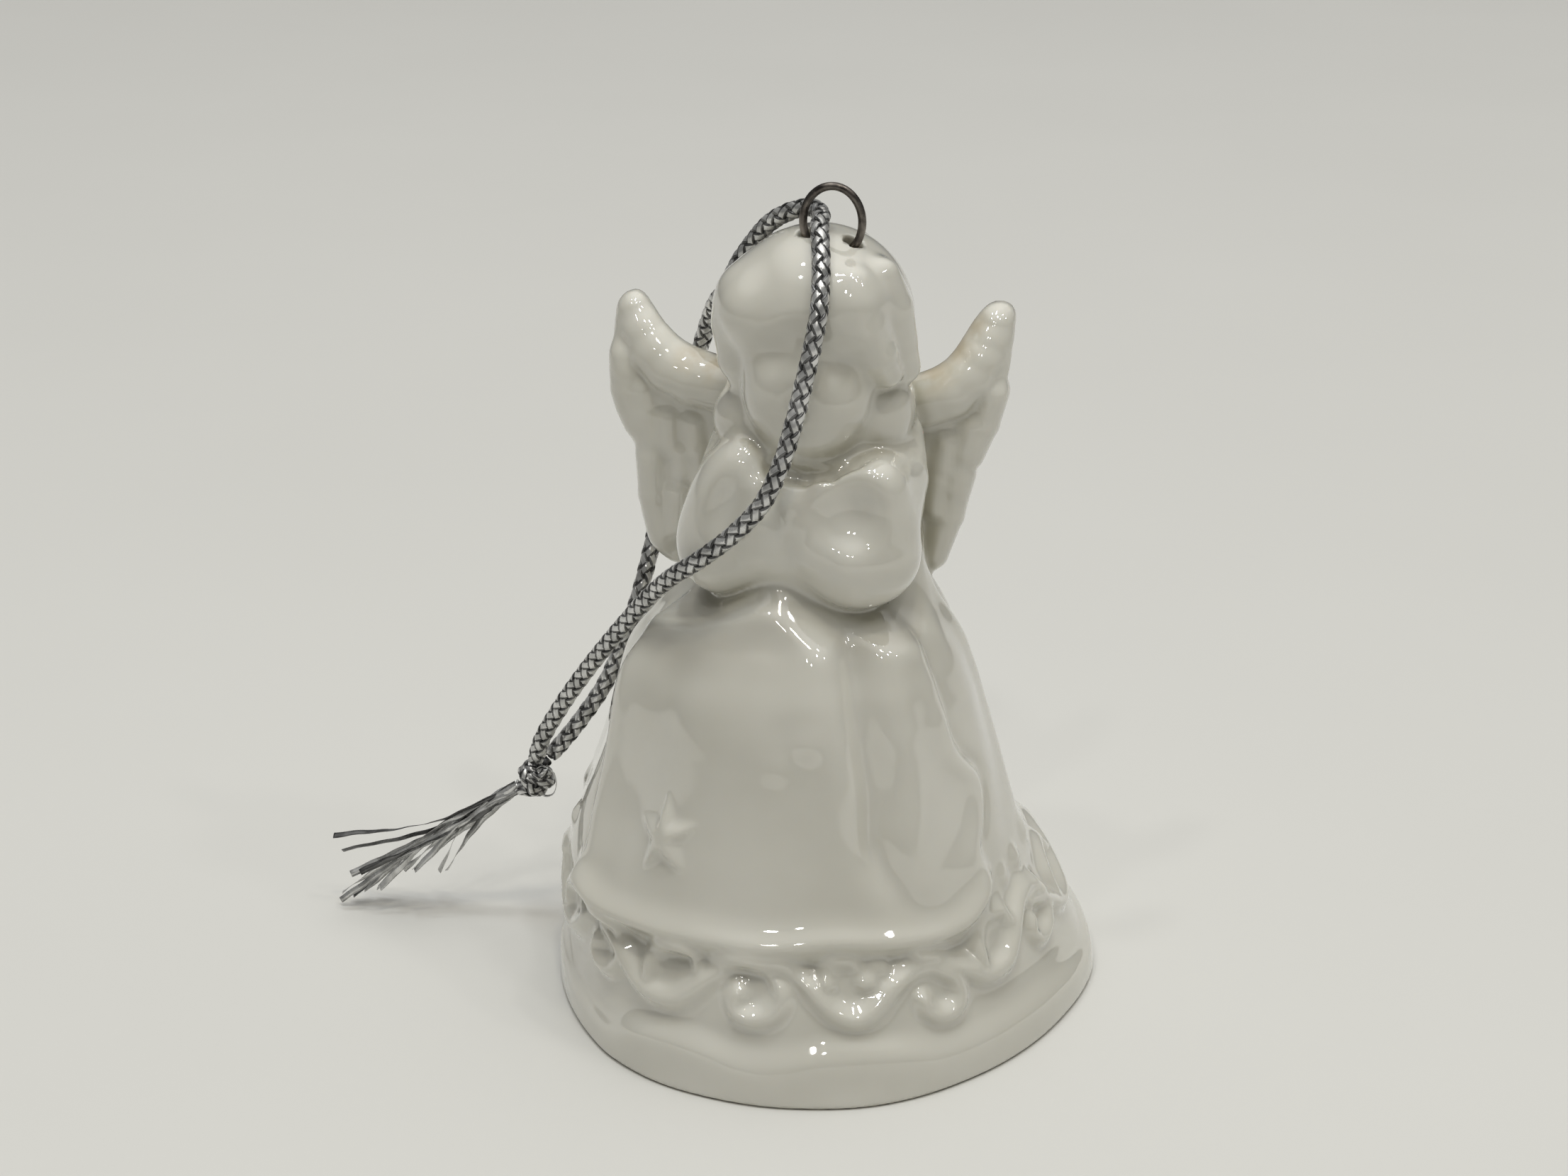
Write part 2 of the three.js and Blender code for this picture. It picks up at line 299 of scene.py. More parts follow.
def foil_finish(name, light, dark):
    """Flat metallised ribbon: faintly crumpled, each stretch a little brighter or darker than the next."""
    finish = Finish(name, Metallic=0.6, Roughness=0.3)
    tone = finish.step(finish.noise(650.0, 1.0), 0.36, 0.6)
    fine = finish.step(finish.noise(3600.0, 2.0), 0.3, 0.7)
    colour = finish.mix(tone, dark, light)
    colour = finish.mix(finish.times(fine, 0.25), colour, dark)
    rough = finish.step(finish.noise(1200.0, 2.0), 0.3, 0.7, 0.18, 0.4)
    crumple = finish.bump(finish.noise(1500.0, 2.0, 0.5), 0.00004, 0.6)
    return finish.wire(Base_Color=colour, Roughness=rough, Normal=crumple)


def core_finish():
    """The dark thread under the ribbons."""
    finish = Finish("braid_core_thread", Roughness=0.75)
    thread = finish.noise(6000.0, 2.0)
    colour = finish.mix(thread, (0.03, 0.03, 0.032), (0.12, 0.12, 0.125))
    return finish.wire(Base_Color=colour, Normal=finish.bump(thread, 0.00004, 0.7))


SILVER_FOIL = foil_finish("silver_foil", (0.80, 0.80, 0.79), (0.52, 0.52, 0.51))
GREY_FOIL = foil_finish("grey_foil", (0.20, 0.20, 0.20), (0.09, 0.09, 0.09))
CORE_THREAD = core_finish()
BRAID_FINISHES = [SILVER_FOIL, GREY_FOIL, CORE_THREAD]
SILVER, GREY, CORE = 0, 1, 2

# ---------------------------------------------------------------- the cord

# The cord's line: from the knot up the front leg, over the face and the crown, through the ring, down
# behind the wing and back to the knot.
CORD_ROUTE = [
    (-24.0, 2.1, 15.1), (-23.3, 1.3, 17.1), (-21.4, 0.1, 20.6), (-18.8, -1.5, 24.7),
    (-15.8, -3.6, 29.0), (-12.75, -5.9, 33.1), (-10.4, -8.2, 35.9), (-7.6, -10.0, 38.4),
    (-5.2, -10.5, 40.6), (-3.1, -10.7, 43.1), (-1.8, -10.4, 46.0), (-1.05, -9.7, 48.7),
    (-0.45, -8.9, 51.5), (0.1, -8.2, 54.3), (0.4, -7.4, 56.5), (0.35, -6.3, 58.2),
    (0.1, -4.7, 60.0), (-0.22, -3.3, 61.05), (-0.4, -2.25, 61.55), (-0.46, -1.2, 61.8),
    (-0.8, -0.27, 61.93), (-1.45, 0.5, 61.95), (-2.35, 1.1, 61.72), (-3.6, 1.8, 61.1),
    (-5.0, 2.8, 60.0), (-6.3, 3.6, 58.4), (-7.5, 3.8, 56.6), (-8.6, 4.4, 54.3),
    (-9.8, 6.7, 52.6), (-11.2, 9.2, 49.4), (-12.5, 9.2, 44.9), (-13.5, 9.2, 40.6),
    (-14.5, 9.2, 36.5), (-15.1, 8.6, 33.8), (-15.5, 7.1, 31.2), (-16.1, 5.4, 28.2),
    (-17.2, 4.2, 24.6), (-18.6, 3.6, 21.3), (-20.7, 3.3, 18.0), (-23.0, 3.5, 14.9),
]
AT_RING = CORD_ROUTE.index((-0.46, -1.2, 61.8))
CORD_DIAMETER = 1.4
RIBBON_WIDTH = 0.76
RIBBON_THICKNESS = 0.14
BRAID_TURN = 5.6                 # along the cord for one turn of a ribbon
CROSSINGS = 8                    # of each ribbon in one turn
RIBBONS_EACH_WAY = 4
CORE_DEPTH = 0.1                 # of the thread inside, below the middle of the ribbons
CORD_STEP = 0.12                 # between the points of a cord's line
# A ribbon's section, in parts of its width and thickness, and the finish of each of its long sides: bright
# along the middle, dark along both edges and below.
RIBBON_SECTION = [(-0.5, -0.4), (-0.27, 0.34), (0.0, 0.5), (0.27, 0.34), (0.5, -0.4), (0.0, -0.4)]
RIBBON_SIDES = [GREY, SILVER, SILVER, GREY, CORE, CORE]


def ribbon(centre, facing, width, thickness):
    """A flat strip along a line, its broad face turned the way of facing, slightly crowned."""
    along = unit(np.gradient(centre, axis=0))
    across = unit(np.cross(along, facing))
    out = np.cross(across, along)
    width, thickness = np.broadcast_to(width, len(centre)), np.broadcast_to(thickness, len(centre))
    rings = np.stack([centre + across * (u * width)[:, None] + out * (v * thickness)[:, None]
                      for u, v in RIBBON_SECTION], axis=1)
    return skin(rings)


def braid(path, start=0.0, diameter=CORD_DIAMETER, frames=None):
    """A round braid along a path: ribbons turning both ways, each over one and under the next.

    start is how far along the whole cord the path begins, so that the two legs meet in step."""
    _, side, up = frames or path_frames(path)
    size = diameter / CORD_DIAMETER
    turn_length, thickness = BRAID_TURN * size, RIBBON_THICKNESS * size
    run = run_of(path) + start
    reach = diameter / 2 - thickness
    weave = 0.5 * thickness * np.cos(math.pi * CROSSINGS * run / turn_length)
    parts, finishes = [], []
    for way in (1, -1):
        for number in range(RIBBONS_EACH_WAY):
            turn = way * 2 * math.pi * run / turn_length + 2 * math.pi * number / RIBBONS_EACH_WAY
            out = outward(turn, side, up)
            centre = path + out * (reach + way * weave)[:, None]
            parts.append(ribbon(centre, out, RIBBON_WIDTH * size, thickness))
            finishes += RIBBON_SIDES * (len(path) - 1) + [SILVER, SILVER]
    parts.append(tube(path[::3], reach - CORE_DEPTH, 10))
    finishes += [CORE] * len(parts[-1][1])
    points, faces = merged(parts)
    return points, faces, finishes


def make_cord():
    """The two legs of the loop, which meet at the ring, as one braid cut in two there."""
    path = smooth_path(CORD_ROUTE, CORD_STEP)
    at_ring = int(np.argmin(np.linalg.norm(path - np.array(CORD_ROUTE[AT_RING]), axis=1)))
    frames = path_frames(path)
    run = run_of(path)
    legs = []
    for name, first, last in (("cord_front_leg", 0, at_ring), ("cord_back_leg", at_ring, len(path) - 1)):
        span = slice(first, last + 1)
        cut = tuple(f[span] for f in frames)
        points, faces, finishes = braid(path[span], run[first], frames=cut)
        leg = new_piece(name, points, faces, BRAID_FINISHES, "figure", finishes)
        legs.append((leg, path[span], run[last] - run[first]))
    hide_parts("cord_loop")
    return legs


# ---------------------------------------------------------------- the knot and the frayed ends

KNOT_CENTRE = np.array((-24.4, 2.9, 12.9))
LEGS_WAY = unit(np.array((-23.3, 2.8, 14.8)) - KNOT_CENTRE)
TAILS_WAY = unit(np.array((-39.5, 2.6, 1.9)) - np.array((-25.6, 2.9, 11.4)))
# The knot's two turning cords. Each point: how far along the knot's axis, degrees round it, how far out.
FIRST_TURNS = [
    (1.5, 60, 0.45), (0.9, 100, 0.85), (0.45, 170, 1.05), (0.2, 240, 1.1), (-0.1, 310, 1.05),
    (-0.35, 380, 1.05), (-0.3, 450, 1.15), (0.1, 510, 1.15), (0.5, 570, 1.0), (0.2, 630, 0.8),
    (-0.6, 690, 0.55), (-1.5, 740, 0.3),
]
SECOND_TURNS = [
    (1.5, 230, 0.45), (0.8, 260, 0.8), (0.65, 330, 1.0), (0.75, 400, 1.0), (0.5, 470, 0.95),
    (-0.2, 540, 1.0), (-0.7, 600, 0.9), (-0.9, 660, 0.85), (-0.8, 730, 0.8), (-1.1, 800, 0.6),
    (-1.6, 850, 0.3),
]
TIGHT_DIAMETER = 1.05            # of the cord where the knot pulls it tight
# One thread stands out of the knot in a small loop: its points from the knot's middle, its width and
# thickness.
STRAY_LOOP = [(0.3, -0.8, 1.1), (0.9, -1.0, 1.6), (1.6, -1.0, 1.3), (2.0, -0.9, 0.2), (1.7, -0.8, -0.9),
              (1.0, -0.7, -1.2), (0.4, -0.6, -0.8)]
STRAY_THREAD = (0.26, 0.08)
TASSEL_TIPS = [
    (-41.3, 2.0, 0.5), (-40.4, 2.8, 0.6), (-39.6, 3.3, 0.9), (-38.6, 3.6, 1.0), (-37.6, 1.2, 2.4),
    (-40.9, 1.4, 1.6), (-41.7, 2.5, 6.3), (-33.2, 3.9, 3.0), (-34.4, 1.0, 4.4), (-36.4, 4.2, 2.6),
    (-36.0, 1.6, 5.2), (-39.0, 0.8, 4.0), (-33.8, 4.6, 4.4), (-32.0, 2.2, 4.1), (-38.2, 4.4, 3.0),
    (-35.2, 3.2, 3.4), (-40.9, 2.2, 5.1), (-40.2, 1.9, 3.1),
]
TASSEL_START = 1.5               # from the knot's middle
TASSEL_ROOT = 0.42               # how far from the tassel's axis its strips leave the knot
STRIP_WIDTHS = (0.5, 0.72)       # the narrowest and the widest
STRIP_THICKNESS = 0.05
CRIMP_LENGTHS = (1.8, 3.4)       # along a strip, for one wave left from the braid
CRIMP, SWING = 0.035, 0.09       # how far the waves go out of a strip's face, and sideways
TWIST = 0.5                      # radians along 1 mm, at most


def make_knot():
    """An overhand knot in the doubled cord: its turns wrap the legs and the tails leave it below."""
    axis = unit(LEGS_WAY * 0.7 - TAILS_WAY)
    side = unit(np.cross(axis, [0.0, 1.0, 0.2]))
    front = np.cross(side, axis)
    if front[1] > 0:
        side, front = -side, -front

    parts, finishes = [], []
    for turns in (FIRST_TURNS, SECOND_TURNS):
        line = []
        for along, turn, radius in turns:
            line.append(KNOT_CENTRE + axis * along + radius * outward(math.radians(turn), side, front))
        points, faces, cord_finishes = braid(smooth_path(line, 0.1), diameter=TIGHT_DIAMETER)
        parts.append((points, faces))
        finishes += cord_finishes
    loop = smooth_path([KNOT_CENTRE + offset for offset in STRAY_LOOP], CORD_STEP)
    parts.append(ribbon(loop, path_frames(loop)[2], *STRAY_THREAD))
    finishes += [SILVER] * len(parts[-1][1])
    points, faces = merged(parts)
    knot = new_piece("cord_knot_tied", points, faces, BRAID_FINISHES, "figure", finishes)
    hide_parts("cord_knot")
    return knot


def tassel_line(tip, number):
    """A strip's line: with the others out of the knot, then away to its own tip."""
    start = KNOT_CENTRE + TAILS_WAY * TASSEL_START
    reach = np.linalg.norm(tip - start)
    around = 2 * math.pi * number / len(TASSEL_TIPS)
    side = unit(np.cross(TAILS_WAY, [0.0, 0.0, 1.0]))
    up = np.cross(side, TAILS_WAY)
    root = start + TASSEL_ROOT * outward(around, side, up)
    straight = TAILS_WAY * reach
    middle = root + 0.52 * straight + 0.2 * (tip - start - straight)
    return smooth_path([root, root + 0.18 * straight, middle, tip], 0.14)


def make_tassel():
    """The frayed ends: flat strips, still crimped from the braid, fanning away from the knot."""
    parts, finishes = [], []
    for number, tip in enumerate(TASSEL_TIPS):
        path = tassel_line(np.array(tip), number)
        _, across, out = path_frames(path)
        run = run_of(path)
        fade = np.clip(run / 1.5, 0, 1) * (1 - 0.35 * run / run[-1])
        phase, pitch = RANDOM.uniform(0, 2 * math.pi), RANDOM.uniform(*CRIMP_LENGTHS)
        crimp = CRIMP * fade * np.cos(2 * math.pi * run / pitch + phase)
        swing = SWING * fade * np.sin(2 * math.pi * run / (2 * pitch) + phase)
        path = path + out * crimp[:, None] + across * swing[:, None]
        twist = RANDOM.uniform(0, 2 * math.pi) + run * RANDOM.uniform(-TWIST, TWIST)
        width = RANDOM.uniform(*STRIP_WIDTHS) * (1 - 0.12 * run / run[-1])
        parts.append(ribbon(path, outward(twist, out, across), width, STRIP_THICKNESS))
        finishes += [GREY if number % 5 == 1 else SILVER] * len(parts[-1][1])
    points, faces = merged(parts)
    tassel = new_piece("cord_frayed_ends", points, faces, BRAID_FINISHES[:2], "figure",
                       finishes)
    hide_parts("cord_tassel")
    return tassel


cord_legs = make_cord()
knot = make_knot()
tassel = make_tassel()

# ---------------------------------------------------------------- distance-field helpers


def curve(*knots):
    """A smooth function through (input, output) pairs, as one lookup."""
    x, y = np.array(knots, float).T
    slope = np.gradient(y, x)
    fine = np.linspace(x[0], x[-1], 1200)
    i = np.clip(np.searchsorted(x, fine) - 1, 0, len(x) - 2)
    span = x[i + 1] - x[i]
    t = (fine - x[i]) / span
    values = ((2 * t**3 - 3 * t**2 + 1) * y[i] + (t**3 - 2 * t**2 + t) * span * slope[i]
              + (3 * t**2 - 2 * t**3) * y[i + 1] + (t**3 - t**2) * span * slope[i + 1])
    return lambda at: np.interp(at, fine, values)


def smoothstep(value, low, high):
    """0 below low, 1 above high, and a smooth rise between them."""
    t = np.clip((value - low) / (high - low), 0, 1)
    return t * t * (3 - 2 * t)


def join(a, b, blend):
    """Smooth union of two distances."""
    h = np.clip(0.5 + 0.5 * (b - a) / blend, 0, 1)
    return b + (a - b) * h - blend * h * (1 - h)


def cut(a, b, blend):
    """a with b taken out of it, smoothly."""
    return -join(-a, b, blend)


def turned(points, tilt):
    """Points in the frame of a shape turned by tilt, degrees about X, Y and Z in that order."""
    rx, ry, rz = np.radians(tilt)
    about_x = np.array([[1, 0, 0], [0, math.cos(rx), -math.sin(rx)], [0, math.sin(rx), math.cos(rx)]])
    about_y = np.array([[math.cos(ry), 0, math.sin(ry)], [0, 1, 0], [-math.sin(ry), 0, math.cos(ry)]])
    about_z = np.array([[math.cos(rz), -math.sin(rz), 0], [math.sin(rz), math.cos(rz), 0], [0, 0, 1]])
    return points @ (about_z @ about_y @ about_x)


def ellipsoid(points, centre, half, tilt=(0, 0, 0)):
    """Distance to an ellipsoid, close to true near its surface."""
    local = turned(points - np.array(centre), tilt)
    half = np.array(half, float)
    level = np.linalg.norm(local / half, axis=1)
    slope = np.linalg.norm(local / half**2, axis=1)
    return level * (level - 1) / np.maximum(slope, 1e-9)


def limb(points, line, radii):
    """Distance to a chain of tapered round segments."""
    line, best = np.asarray(line, float), None
    for i in range(len(line) - 1):
        a, b = line[i], line[i + 1]
        t = np.clip((points - a) @ (b - a) / np.dot(b - a, b - a), 0, 1)
        away = np.linalg.norm(points - a - t[:, None] * (b - a), axis=1)
        away = away - (radii[i] + (radii[i + 1] - radii[i]) * t)
        best = away if best is None else join(best, away, 0.25)
    return best


def gap_squared(x, y, a, b):
    """Square of the distance to the straight line from a to b in a plane."""
    ex, ey = b[0] - a[0], b[1] - a[1]
    t = np.clip(((x - a[0]) * ex + (y - a[1]) * ey) / (ex * ex + ey * ey), 0, 1)
    return (x - a[0] - t * ex) ** 2 + (y - a[1] - t * ey) ** 2


def outline_distance(x, y, outline):
    """Signed distance to a closed outline in a plane, negative inside."""
    best, inside = np.full(len(x), 1e9), np.zeros(len(x), bool)
    for i in range(len(outline)):
        a, b = outline[i - 1], outline[i]
        best = np.minimum(best, gap_squared(x, y, a, b))
        if b[1] != a[1]:
            crosses = (a[1] > y) != (b[1] > y)
            inside ^= crosses & (x < (y - a[1]) * (b[0] - a[0]) / (b[1] - a[1]) + a[0])
    return np.where(inside, -1, 1) * np.sqrt(best)


def stroke_distance(x, y, line):
    """Distance to a polyline in a plane."""
    best = np.full(x.shape, 1e9)
    for a, b in zip(line[:-1], line[1:]):
        best = np.minimum(best, gap_squared(x, y, a, b))
    return np.sqrt(best)


def swell(away, half_width):
    """1 on a line, falling softly to 0 at the half width."""
    return smoothstep(1 - away / half_width, 0, 1)


def bell_shape(value, width):
    """1 at 0, falling away on both sides without ever ending."""
    return np.exp(-(value / width) ** 2)


SOFTENING = 9                    # passes that round the relief off, as a pooled glaze does
COLUMNS, ROWS = 1280, 520        # of the relief's grid


class Relief:
    """A height over angle and height, sampled once on a grid and read back smoothly."""

    def __init__(self, height_of, z_low, z_high):
        self.z_low, self.z_step = z_low, (z_high - z_low) / ROWS
        angle = (np.arange(COLUMNS) / COLUMNS - 0.5) * 360
        z = z_low + np.arange(ROWS + 1) * self.z_step
        self.grid = height_of(*np.meshgrid(angle, z, indexing="ij"))
        for _ in range(SOFTENING):
            self.grid = 0.5 * self.grid + 0.25 * (np.roll(self.grid, 1, 0) + np.roll(self.grid, -1, 0))
            inner = self.grid[:, 1:-1]
            self.grid[:, 1:-1] = 0.5 * inner + 0.25 * (self.grid[:, :-2] + self.grid[:, 2:])

    def at(self, angle, z):
        """The height at some angles and heights, blended from the samples round each."""
        u = (angle / 360 + 0.5) * COLUMNS
        v = np.clip((z - self.z_low) / self.z_step, 1.0, ROWS - 2.001)
        i, j = np.floor(u).astype(int), np.floor(v).astype(int)
        total = 0
        for a, wa in zip((-1, 0, 1, 2), self.weights(u - i)):
            column = (i + a) % COLUMNS
            for b, wb in zip((-1, 0, 1, 2), self.weights(v - j)):
                total = total + wa * wb * self.grid[column, j + b]
        return total

    @staticmethod
    def weights(t):
        """Those of a cubic B-spline for the four samples round a place."""
        return ((1 - t) ** 3 / 6, (3 * t**3 - 6 * t**2 + 4) / 6,
                (-3 * t**3 + 3 * t**2 + 3 * t + 1) / 6, t**3 / 6)


# ---------------------------------------------------------------- the dress

# Radius of the dress against height, and how far its middle leans to the figure's right.
DRESS_RADIUS = curve(
    (-2, 21.5), (0, 21.5), (2, 21.2), (5.5, 20.4), (7.3, 19.8), (9.06, 19.2), (11.5, 18.15), (15.5, 16.7),
    (19.8, 15.25), (23.5, 14.2), (26.0, 13.5), (28.0, 12.7), (30.0, 11.4), (32.0, 10.0), (34.0, 9.2),
    (37.0, 8.8), (41, 8.2), (45, 7.2), (49, 6.2), (53, 5.2))
DRESS_LEAN = curve(
    (-2, 0), (0, 0), (2, -0.1), (5.5, -0.7), (7.3, -1.1), (9.06, -1.5), (11.5, -2.2), (15.5, -2.3),
    (19.8, -2.2), (25.1, -2.3), (27.1, -2.3), (29.8, -1.9), (33, -1.6), (37, -1.6), (53, -1.0))
DRESS_TOP = 50
# The rim isn't quite round: how far it stands out or in, against the angle from the front.
RIM_SHAPE = curve(
    (-180, 0), (-125, 0), (-96, -0.4), (-72, -0.6), (-58, -0.5), (-48, -0.2), (-38, 0.25), (-28, 0.55),
    (-12, 0.45), (5, 0.25), (19, 0), (27, -0.35), (38, -0.95), (51, -1.35), (63, -1.5), (75, -1.4),
    (86, -1.0), (96, -0.5), (110, -0.2), (130, 0), (180, 0))
# The hollow inside, against height: its radius, its lean to the side, and how far its middle is set back.
HOLLOW_RADIUS = curve(
    (-2, 19.2), (0.8, 18.9), (5, 17.9), (8.2, 16.9), (12, 15.7), (16, 14.3), (20.5, 12.6), (25.5, 10.9),
    (29.5, 8.2), (33, 6.3), (38, 5.3), (43, 4.4), (47, 3.8), (52, 3.9), (55, 3.8), (57.4, 3.0), (58.7, 1.9),
    (59.1, 0.6), (60, -1.5))
HOLLOW_LEAN = curve(
    (-2, 0), (2, 0), (7, -1.0), (12, -2.0), (24, -2.0), (29, -1.15), (34, -0.3), (60, -0.3))
HOLLOW_SET_BACK = curve((-2, 0), (24, 0), (29, -0.3), (34, -0.6), (42, -0.9), (60, -0.9))
HOLLOW_TOP = 59.3

# Edges of the front panel and the fold down it: angle round the dress from the front, against height.
PANEL_LEFT = curve(
    (8, -50), (11.5, -53), (12.3, -55), (14.6, -57), (17.6, -60.5), (20.4, -63), (24.1, -66), (29, -71),
    (36, -76))
PANEL_RIGHT = curve(
    (8, 66), (11.5, 65), (13.1, 64.5), (15.4, 64), (17.6, 69), (20.4, 71), (22.5, 65), (26.4, 62),
    (29.6, 60), (36, 57))
FOLD = curve(
    (8, 38), (12.5, 37), (14.3, 34), (16.4, 31.4), (22.6, 31.6), (25.9, 30.9), (29.1, 29.5), (31.9, 28),
    (36, 26))
# Lines round the dress, as heights against angle: the roll under the panel, the top of the hem, and the deep
# groove under the sleeves.
ROLL_LEVEL = curve(
    (-180, 11.6), (-70, 13.4), (-62, 12.8), (-54, 11.9), (-40, 11.4), (-27, 11.45), (-12, 11.6), (2, 11.5),
    (18, 11.8), (30, 11.35), (43, 10.95), (53, 11.3), (60, 12.2), (66, 13.2), (180, 11.6))
HEM_TOP = curve(
    (-180, 3.4), (-160, 4.4), (-140, 3.0), (-118, 4.3), (-98, 3.0), (-75, 3.9), (-58, 3.2), (-48, 3.0),
    (-40, 2.9), (-29, 4.3), (-22, 4.8), (-15, 4.6), (-8, 3.9), (-2, 3.8), (4, 4.2), (10, 4.9), (17, 5.0),
    (25, 4.5), (33, 3.8), (45, 3.6), (57, 3.6), (70, 3.4), (96, 2.8), (118, 4.2), (138, 2.8), (160, 4.3),
    (180, 3.4))
WAIST_LEVEL = curve(
    (-180, 33.0), (-90, 32.8), (-60, 33.2), (-45, 33.7), (-35, 34.2), (-23, 35.0), (-12, 35.5), (-5, 35.4),
    (3, 34.8), (10, 34.2), (19, 33.7), (31, 33.5), (50, 33.2), (80, 32.8), (180, 33.0))
BORDER_RADIUS = 19.3             # turns an angle in the border into a distance along it

# The scroll border's strokes, as (degrees, height): a waving stem, a leaf curl over each trough and a volute
# hanging from each crest. The second set is the one right of the middle, which was modelled one by one and
# differs.
STEM = [
    (-44.5, 9.6), (-41.0, 9.3), (-37.6, 8.8), (-33.9, 7.9), (-30.2, 7.1), (-25.8, 6.75), (-20.5, 6.95),
    (-15.9, 7.9), (-12.6, 9.0), (-8.6, 9.9), (-3.6, 10.3), (1.0, 10.1),
]
CURL = [(-28.0, 7.7), (-27.3, 9.1), (-23.6, 10.1), (-19.0, 10.45), (-15.6, 10.2), (-15.0, 9.4)]
VOLUTE = [
    (-3.7, 10.3), (1.2, 9.9), (3.4, 9.0), (3.2, 7.8), (0.4, 6.85), (-3.4, 6.5), (-6.7, 6.8), (-7.4, 7.6),
    (-6.0, 8.2),
]
SECOND_STEM = [
    (-3.6, 10.3), (1.0, 10.1), (6.2, 9.9), (9.3, 9.2), (11.3, 8.1), (13.8, 7.1), (17.5, 6.5), (20.5, 6.6),
    (23.8, 7.2), (27.0, 8.0), (31.0, 8.8), (35.1, 9.1), (39.8, 8.9), (44.8, 8.4), (50.0, 7.5),
]
SECOND_CURL = [(13.6, 9.0), (14.2, 9.7), (16.6, 10.15), (20.1, 10.1), (22.4, 9.6), (21.8, 8.9)]
SECOND_LEAF = [(23.4, 8.9), (24.8, 9.6), (27.3, 9.5)]
SECOND_VOLUTE = [(39.7, 8.8), (43.6, 7.6), (44.0, 6.4), (41.5, 5.5), (37.3, 5.4), (34.4, 6.1), (34.4, 6.8)]
STEM_STROKE = (1.3, 0.93)        # half width, height
CURL_STROKE = (1.1, 0.8)
VOLUTE_STROKE = (1.15, 0.87)
PERIODS = (-160, -120, -80, -40, 0, 81, 121, 161)         # degrees
BORDER_LOW, BORDER_HIGH = 4, 12.5

STAR_ANGLE, STAR_LEVEL = -27.6, 17.8
STAR_RADIUS = 16.1               # of the dress there
STAR_TIP, STAR_INNER = 2.75, 1.3             # from its middle
STAR_TURN = 101                  # degrees from level to its top point
STAR_HEIGHT = 0.78


def stroke_relief(angle, z, points, size, middle):
    """One raised stroke, as a height."""
    half_width, tall = size
    local = (angle - middle + 180) % 360 - 180
    flat = [(math.radians(a) * BORDER_RADIUS, level, 0) for a, level in points]
    line = smooth_path(flat, 0.35)[:, :2]
    across = np.radians(local) * BORDER_RADIUS
    near = (across > line[:, 0].min() - 1.6) & (across < line[:, 0].max() + 1.6)
    near &= (z > BORDER_LOW) & (z < BORDER_HIGH)
    raised = np.zeros(angle.shape)
    raised[near] = tall * swell(stroke_distance(across[near], z[near], line), half_width)
    return raised


def border_relief(angle, z):
    """The scroll border: its three strokes repeated round the dress, and its second set."""
    strokes = [(shape, size, turn) for turn in PERIODS
               for shape, size in ((STEM, STEM_STROKE), (CURL, CURL_STROKE), (VOLUTE, VOLUTE_STROKE))]
    strokes += [(SECOND_STEM, STEM_STROKE, 0), (SECOND_CURL, CURL_STROKE, 0), (SECOND_LEAF, CURL_STROKE, 0),
                (SECOND_VOLUTE, VOLUTE_STROKE, 0)]
    raised = np.zeros(angle.shape)
    for shape, size, turn in strokes:
        raised = np.maximum(raised, stroke_relief(angle, z, shape, size, turn))
    return raised


def star_relief(angle, z):
    """The raised five-pointed star low on the panel."""
    across, up = np.radians(angle - STAR_ANGLE) * STAR_RADIUS, z - STAR_LEVEL
    points = []
    for number in range(10):
        turn = math.radians(STAR_TURN + 36 * number)
        reach = STAR_INNER if number % 2 else STAR_TIP
        points.append((reach * math.cos(turn), reach * math.sin(turn)))
    near = np.hypot(across, up) < STAR_TIP + 0.85
    raised = np.zeros(angle.shape)
    raised[near] = STAR_HEIGHT * smoothstep(-outline_distance(across[near], up[near], points), -0.35, 0.75)
    return raised


def lump_relief(angle, z, lumps_at):
    """Soft round lumps, each (degrees, height, half width, how tall)."""
    height = np.zeros(angle.shape)
    arc = np.radians(1) * DRESS_RADIUS(z)
    for lump_angle, lump_z, size, tall in lumps_at:
        height += tall * swell(np.hypot((angle - lump_angle) * arc, z - lump_z), size)
    return height


# Where the border climbs at each side, and the faint swellings high on the panel.
SIDE_LUMPS = [(80, 12.4, 1.5, 0.5), (71.5, 12.2, 1.3, 0.35), (84, 9.9, 1.5, 0.3), (93, 12.9, 1.7, 0.45),
              (-77, 13.6, 1.4, 0.4), (-93, 14.5, 1.5, 0.4)]
PANEL_LUMPS = [(7.5, 28.6, 2.4, 0.2), (12, 26.0, 1.8, 0.16), (3, 24.0, 1.8, 0.12)]


